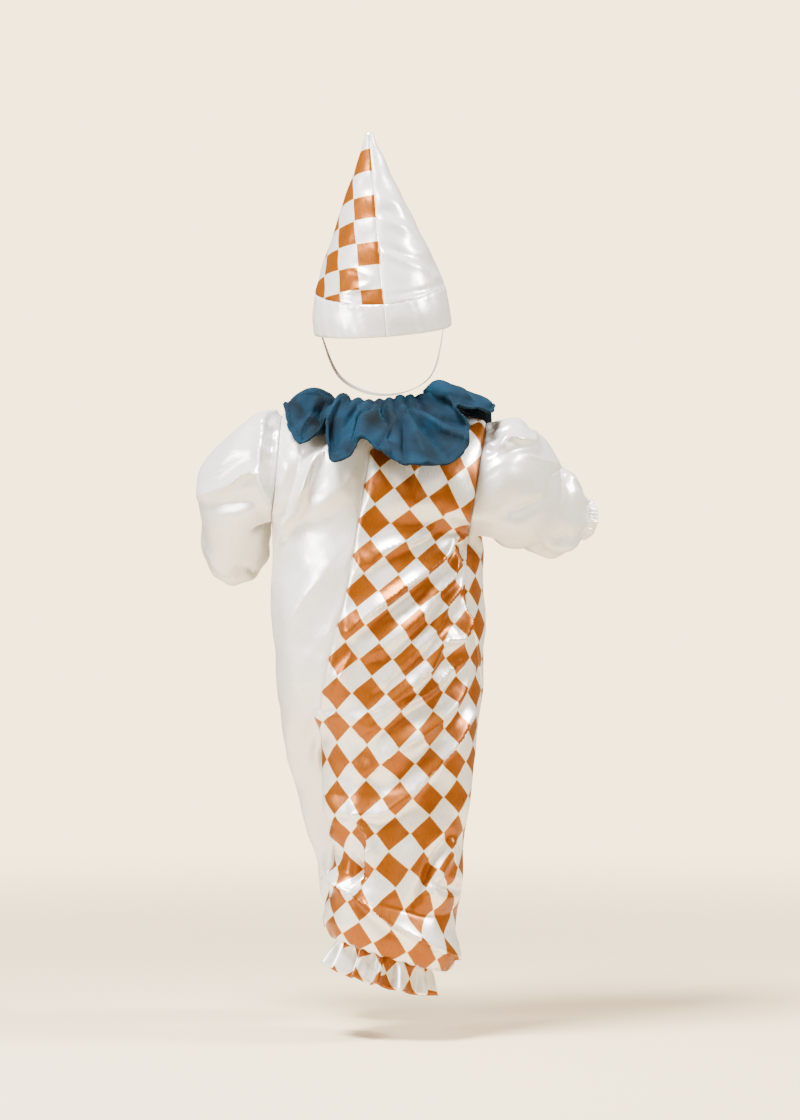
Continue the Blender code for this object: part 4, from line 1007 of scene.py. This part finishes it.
chin = dict(
    width=4.0, thick=1.0, twist=40.0,
    anchor=(66.7, 6.0, 9.0), side=(44.0, 36.0, 24.0), chin=(-3.0, 64.0, 9.0),
)


def makeElastic():
    ends = [np.array(hatMatrix @ Vector((side * chin["anchor"][0], *chin["anchor"][1:]))) for side in (-1, 1)]
    sides = [np.array([side * chin["side"][0] + chin["chin"][0], *chin["side"][1:]]) for side in (-1, 1)]
    knots = np.array([ends[0], sides[0], chin["chin"], sides[1], ends[1]])
    length = np.concatenate([[0], np.cumsum(np.linalg.norm(np.diff(knots, axis=0), axis=1))])
    path = spline(length, knots, np.linspace(0, length[-1], 121))
    axis = unit(np.cross(path[-1] - path[0], path[60] - path[0]))
    along = unit(np.gradient(path, axis=0))
    flat = unit(np.cross(along, axis))
    wide = np.cross(flat, along)
    twist = math.radians(chin["twist"]) * np.sin(np.linspace(0, 2 * math.pi, len(path)))[:, None]
    wide, flat = wide * np.cos(twist) + flat * np.sin(twist), flat * np.cos(twist) - wide * np.sin(twist)
    # a flattened section with soft edges
    turn = np.linspace(0, 2 * math.pi, 16, endpoint=False)
    rings = []
    for p, a, b in zip(path, wide, flat):
        section = np.outer(chin["width"] / 2 * np.cos(turn), a)
        section += np.outer(chin["thick"] / 2 * np.sin(turn), b)
        rings.append(p + section)
    count = len(turn)
    points = np.array(rings).reshape(-1, 3)
    faces = []
    for i in range(len(path) - 1):
        for j in range(count):
            k = (j + 1) % count
            faces.append((i * count + j, i * count + k, (i + 1) * count + k, (i + 1) * count + j))
    faces.append(tuple(range(count))[::-1])
    faces.append(tuple(range((len(path) - 1) * count, len(path) * count)))
    mesh = bpy.data.meshes.new("chin_elastic_band")
    mesh.from_pydata((points * mm).tolist(), [], faces)
    mesh.materials.append(elastic)
    mesh.shade_smooth()
    obj = bpy.data.objects.new("chin_elastic_band", mesh)
    bpy.context.scene.collection.objects.link(obj)
    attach(obj, "root")
    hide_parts("chin_elastic")
    print("elastic made")


# Stitches, made with Geometry Nodes along a line on the cloth

stitching = dict(length=2.4, gap=0.9, radius=0.28)


def stitchTree():
    tree = bpy.data.node_groups.new("stitches along a line", "GeometryNodeTree")
    tree.interface.new_socket("Line", in_out="INPUT", socket_type="NodeSocketGeometry")
    for name, value in (("Pitch", 0.0033), ("Length", 0.0024), ("Radius", 0.00028)):
        tree.interface.new_socket(name, in_out="INPUT", socket_type="NodeSocketFloat").default_value = value
    tree.interface.new_socket("Stitches", in_out="OUTPUT", socket_type="NodeSocketGeometry")
    start, end = tree.nodes.new("NodeGroupInput"), tree.nodes.new("NodeGroupOutput")
    curve = addNode(tree, "GeometryNodeMeshToCurve", links={"Mesh": start.outputs["Line"]})
    points = addNode(tree, "GeometryNodeResampleCurve", {"mode": "LENGTH"},
                     links={"Curve": curve.outputs[0], "Length": start.outputs["Pitch"]})
    body = addNode(tree, "GeometryNodeMeshCylinder", values={"Vertices": 6, "Side Segments": 2},
                   links={"Radius": start.outputs["Radius"], "Depth": start.outputs["Length"]})
    tangent = addNode(tree, "GeometryNodeInputTangent")
    turned = addNode(tree, "FunctionNodeAlignRotationToVector", {"axis": "Z"},
                     links={"Vector": tangent.outputs[0]})
    placed = addNode(tree, "GeometryNodeInstanceOnPoints", links={
        "Points": points.outputs[0], "Instance": body.outputs[0], "Rotation": turned.outputs[0],
    })
    real = addNode(tree, "GeometryNodeRealizeInstances", links={0: placed.outputs[0]})
    smooth = addNode(tree, "GeometryNodeSetShadeSmooth", links={0: real.outputs[0]})
    finished = addNode(tree, "GeometryNodeSetMaterial", values={"Material": thread},
                       links={"Geometry": smooth.outputs[0]})
    tree.links.new(finished.outputs[0], end.inputs[0])
    return tree


def stitchRow(tree, name, line):
    mesh = bpy.data.meshes.new(name + "_line")
    edges = [(i, i + 1) for i in range(len(line) - 1)] + [(len(line) - 1, 0)]
    mesh.from_pydata((line * mm).tolist(), edges, [])
    guide = bpy.data.objects.new(name + "_line", mesh)
    bpy.context.scene.collection.objects.link(guide)
    modifier = guide.modifiers.new("stitches", "NODES")
    modifier.node_group = tree
    length = stitching["length"]
    sizes = dict(Pitch=length + stitching["gap"], Length=length, Radius=stitching["radius"])
    for socket in tree.interface.items_tree:
        if socket.in_out == "INPUT" and socket.name in sizes:
            modifier[socket.identifier] = sizes[socket.name] * mm
    evaluated = guide.evaluated_get(bpy.context.evaluated_depsgraph_get())
    row = bpy.data.objects.new(name, bpy.data.meshes.new_from_object(evaluated))
    bpy.data.objects.remove(guide)
    bpy.context.scene.collection.objects.link(row)
    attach(row, "root")


def makeStitches(sleevePoints, frillPoints):
    tree = stitchTree()
    for side, points in sleevePoints.items():
        normal = gridNormals(points, True) * (-1 if side == "left" else 1)
        row = int(np.argmin(abs(sleeveRows - sleeves["cuff"])))
        stitchRow(tree, f"cuff_stitches_{side}", points[row] + normal[row] * 0.1)
    for side, points in frillPoints.items():
        normal = -gridNormals(points, True)
        stitchRow(tree, f"hem_stitches_{side}", points[2] + normal[2] * 0.1)
    print("stitches made")


shaped = makeRomper()
sleevePoints = makeSleeves(shaped)
frillPoints = makeFrills()
makeRuff()
makeHat()
makeElastic()
makeStitches(sleevePoints, frillPoints)


# Floor, light and camera

studio = dict(
    floor=-0.650, floorRadius=3.2, paper="#F8E4C0", air="#F6DCAF", airShown=5.6, airStrength=0.5,
    pixel=0.00103, centre=(0.01236, 0.0, -0.16274), distance=4.5, rise=0.05, frameHeight=1120,
)
lamps = [   # name, place, aim, size, watts, colour
    ("softboxTop", (-0.6, -0.75, 1.7), (0.0, 0.0, -0.25), 0.6, 190, "#FFFFFF"),
    ("softboxRight", (1.6, -0.2, 0.9), (0.0, 0.0, -0.3), 0.5, 70, "#FFFDF8"),
    ("softboxLeft", (-1.9, -0.9, 0.4), (0.0, 0.0, -0.3), 0.6, 55, "#FFFFFF"),
    ("fillBehindCamera", (0.5, -3.9, 0.8), (0.0, 0.0, -0.2), 1.6, 18, "#FFFBF2"),
]


def makeStudio():
    bpy.ops.mesh.primitive_circle_add(vertices=128, radius=studio["floorRadius"], fill_type="NGON",
                                      location=(0, 0, studio["floor"]))
    floor = bpy.context.object
    floor.name = "floor"
    material, tree, principled = newMaterial("matt background paper", {
        "Roughness": 0.9, "Specular IOR Level": 0.1,
    })
    principled.inputs["Base Color"].default_value = linear(studio["paper"])
    place = addNode(tree, "ShaderNodeTexCoord").outputs["Object"]
    far = addNode(tree, "ShaderNodeVectorMath", {"operation": "LENGTH"}, links={0: place})
    fade = addNode(tree, "ShaderNodeMapRange", {"interpolation_type": "SMOOTHSTEP"},
                   values={"From Min": 0.5, "From Max": 2.6}, links={"Value": far.outputs["Value"]})
    clear = addNode(tree, "ShaderNodeBsdfTransparent")
    mixed = addNode(tree, "ShaderNodeMixShader",
                    links={0: fade.outputs[0], 1: principled.outputs[0], 2: clear.outputs[0]})
    tree.links.new(mixed.outputs[0], tree.nodes["Material Output"].inputs["Surface"])
    floor.data.materials.append(material)
    world = bpy.data.worlds.new("studio air")
    world.use_nodes = True
    world.node_tree.nodes["Background"].inputs[0].default_value = linear(studio["air"])
    # the backdrop is lit on its own, brighter than the light that it sends back to the costume
    rays = addNode(world.node_tree, "ShaderNodeLightPath")
    strength = addNode(world.node_tree, "ShaderNodeMapRange", links={"Value": rays.outputs["Is Camera Ray"]},
                       values={"To Min": studio["airStrength"], "To Max": studio["airShown"]})
    world.node_tree.links.new(strength.outputs[0], world.node_tree.nodes["Background"].inputs[1])
    bpy.context.scene.world = world
    for name, place, aim, size, watts, colour in lamps:
        light = bpy.data.lights.new(name, "AREA")
        light.shape, light.size, light.energy, light.color = "SQUARE", size, watts, linear(colour)[:3]
        lamp = bpy.data.objects.new(name, light)
        lamp.location = place
        lamp.rotation_mode = "QUATERNION"
        lamp.rotation_quaternion = (Vector(aim) - Vector(place)).to_track_quat("-Z", "Y")
        bpy.context.scene.collection.objects.link(lamp)
    camera = bpy.data.objects.new("camera", bpy.data.cameras.new("camera"))
    camera.data.sensor_width = 36
    camera.data.lens = 36 * studio["distance"] / (studio["frameHeight"] * studio["pixel"])
    centre = Vector(studio["centre"])
    camera.location = centre + Vector((0, -studio["distance"], studio["rise"]))
    camera.rotation_mode = "QUATERNION"
    camera.rotation_quaternion = (centre - camera.location).to_track_quat("-Z", "Y")
    bpy.context.scene.collection.objects.link(camera)
    bpy.context.scene.camera = camera
    print("studio made")


makeStudio()
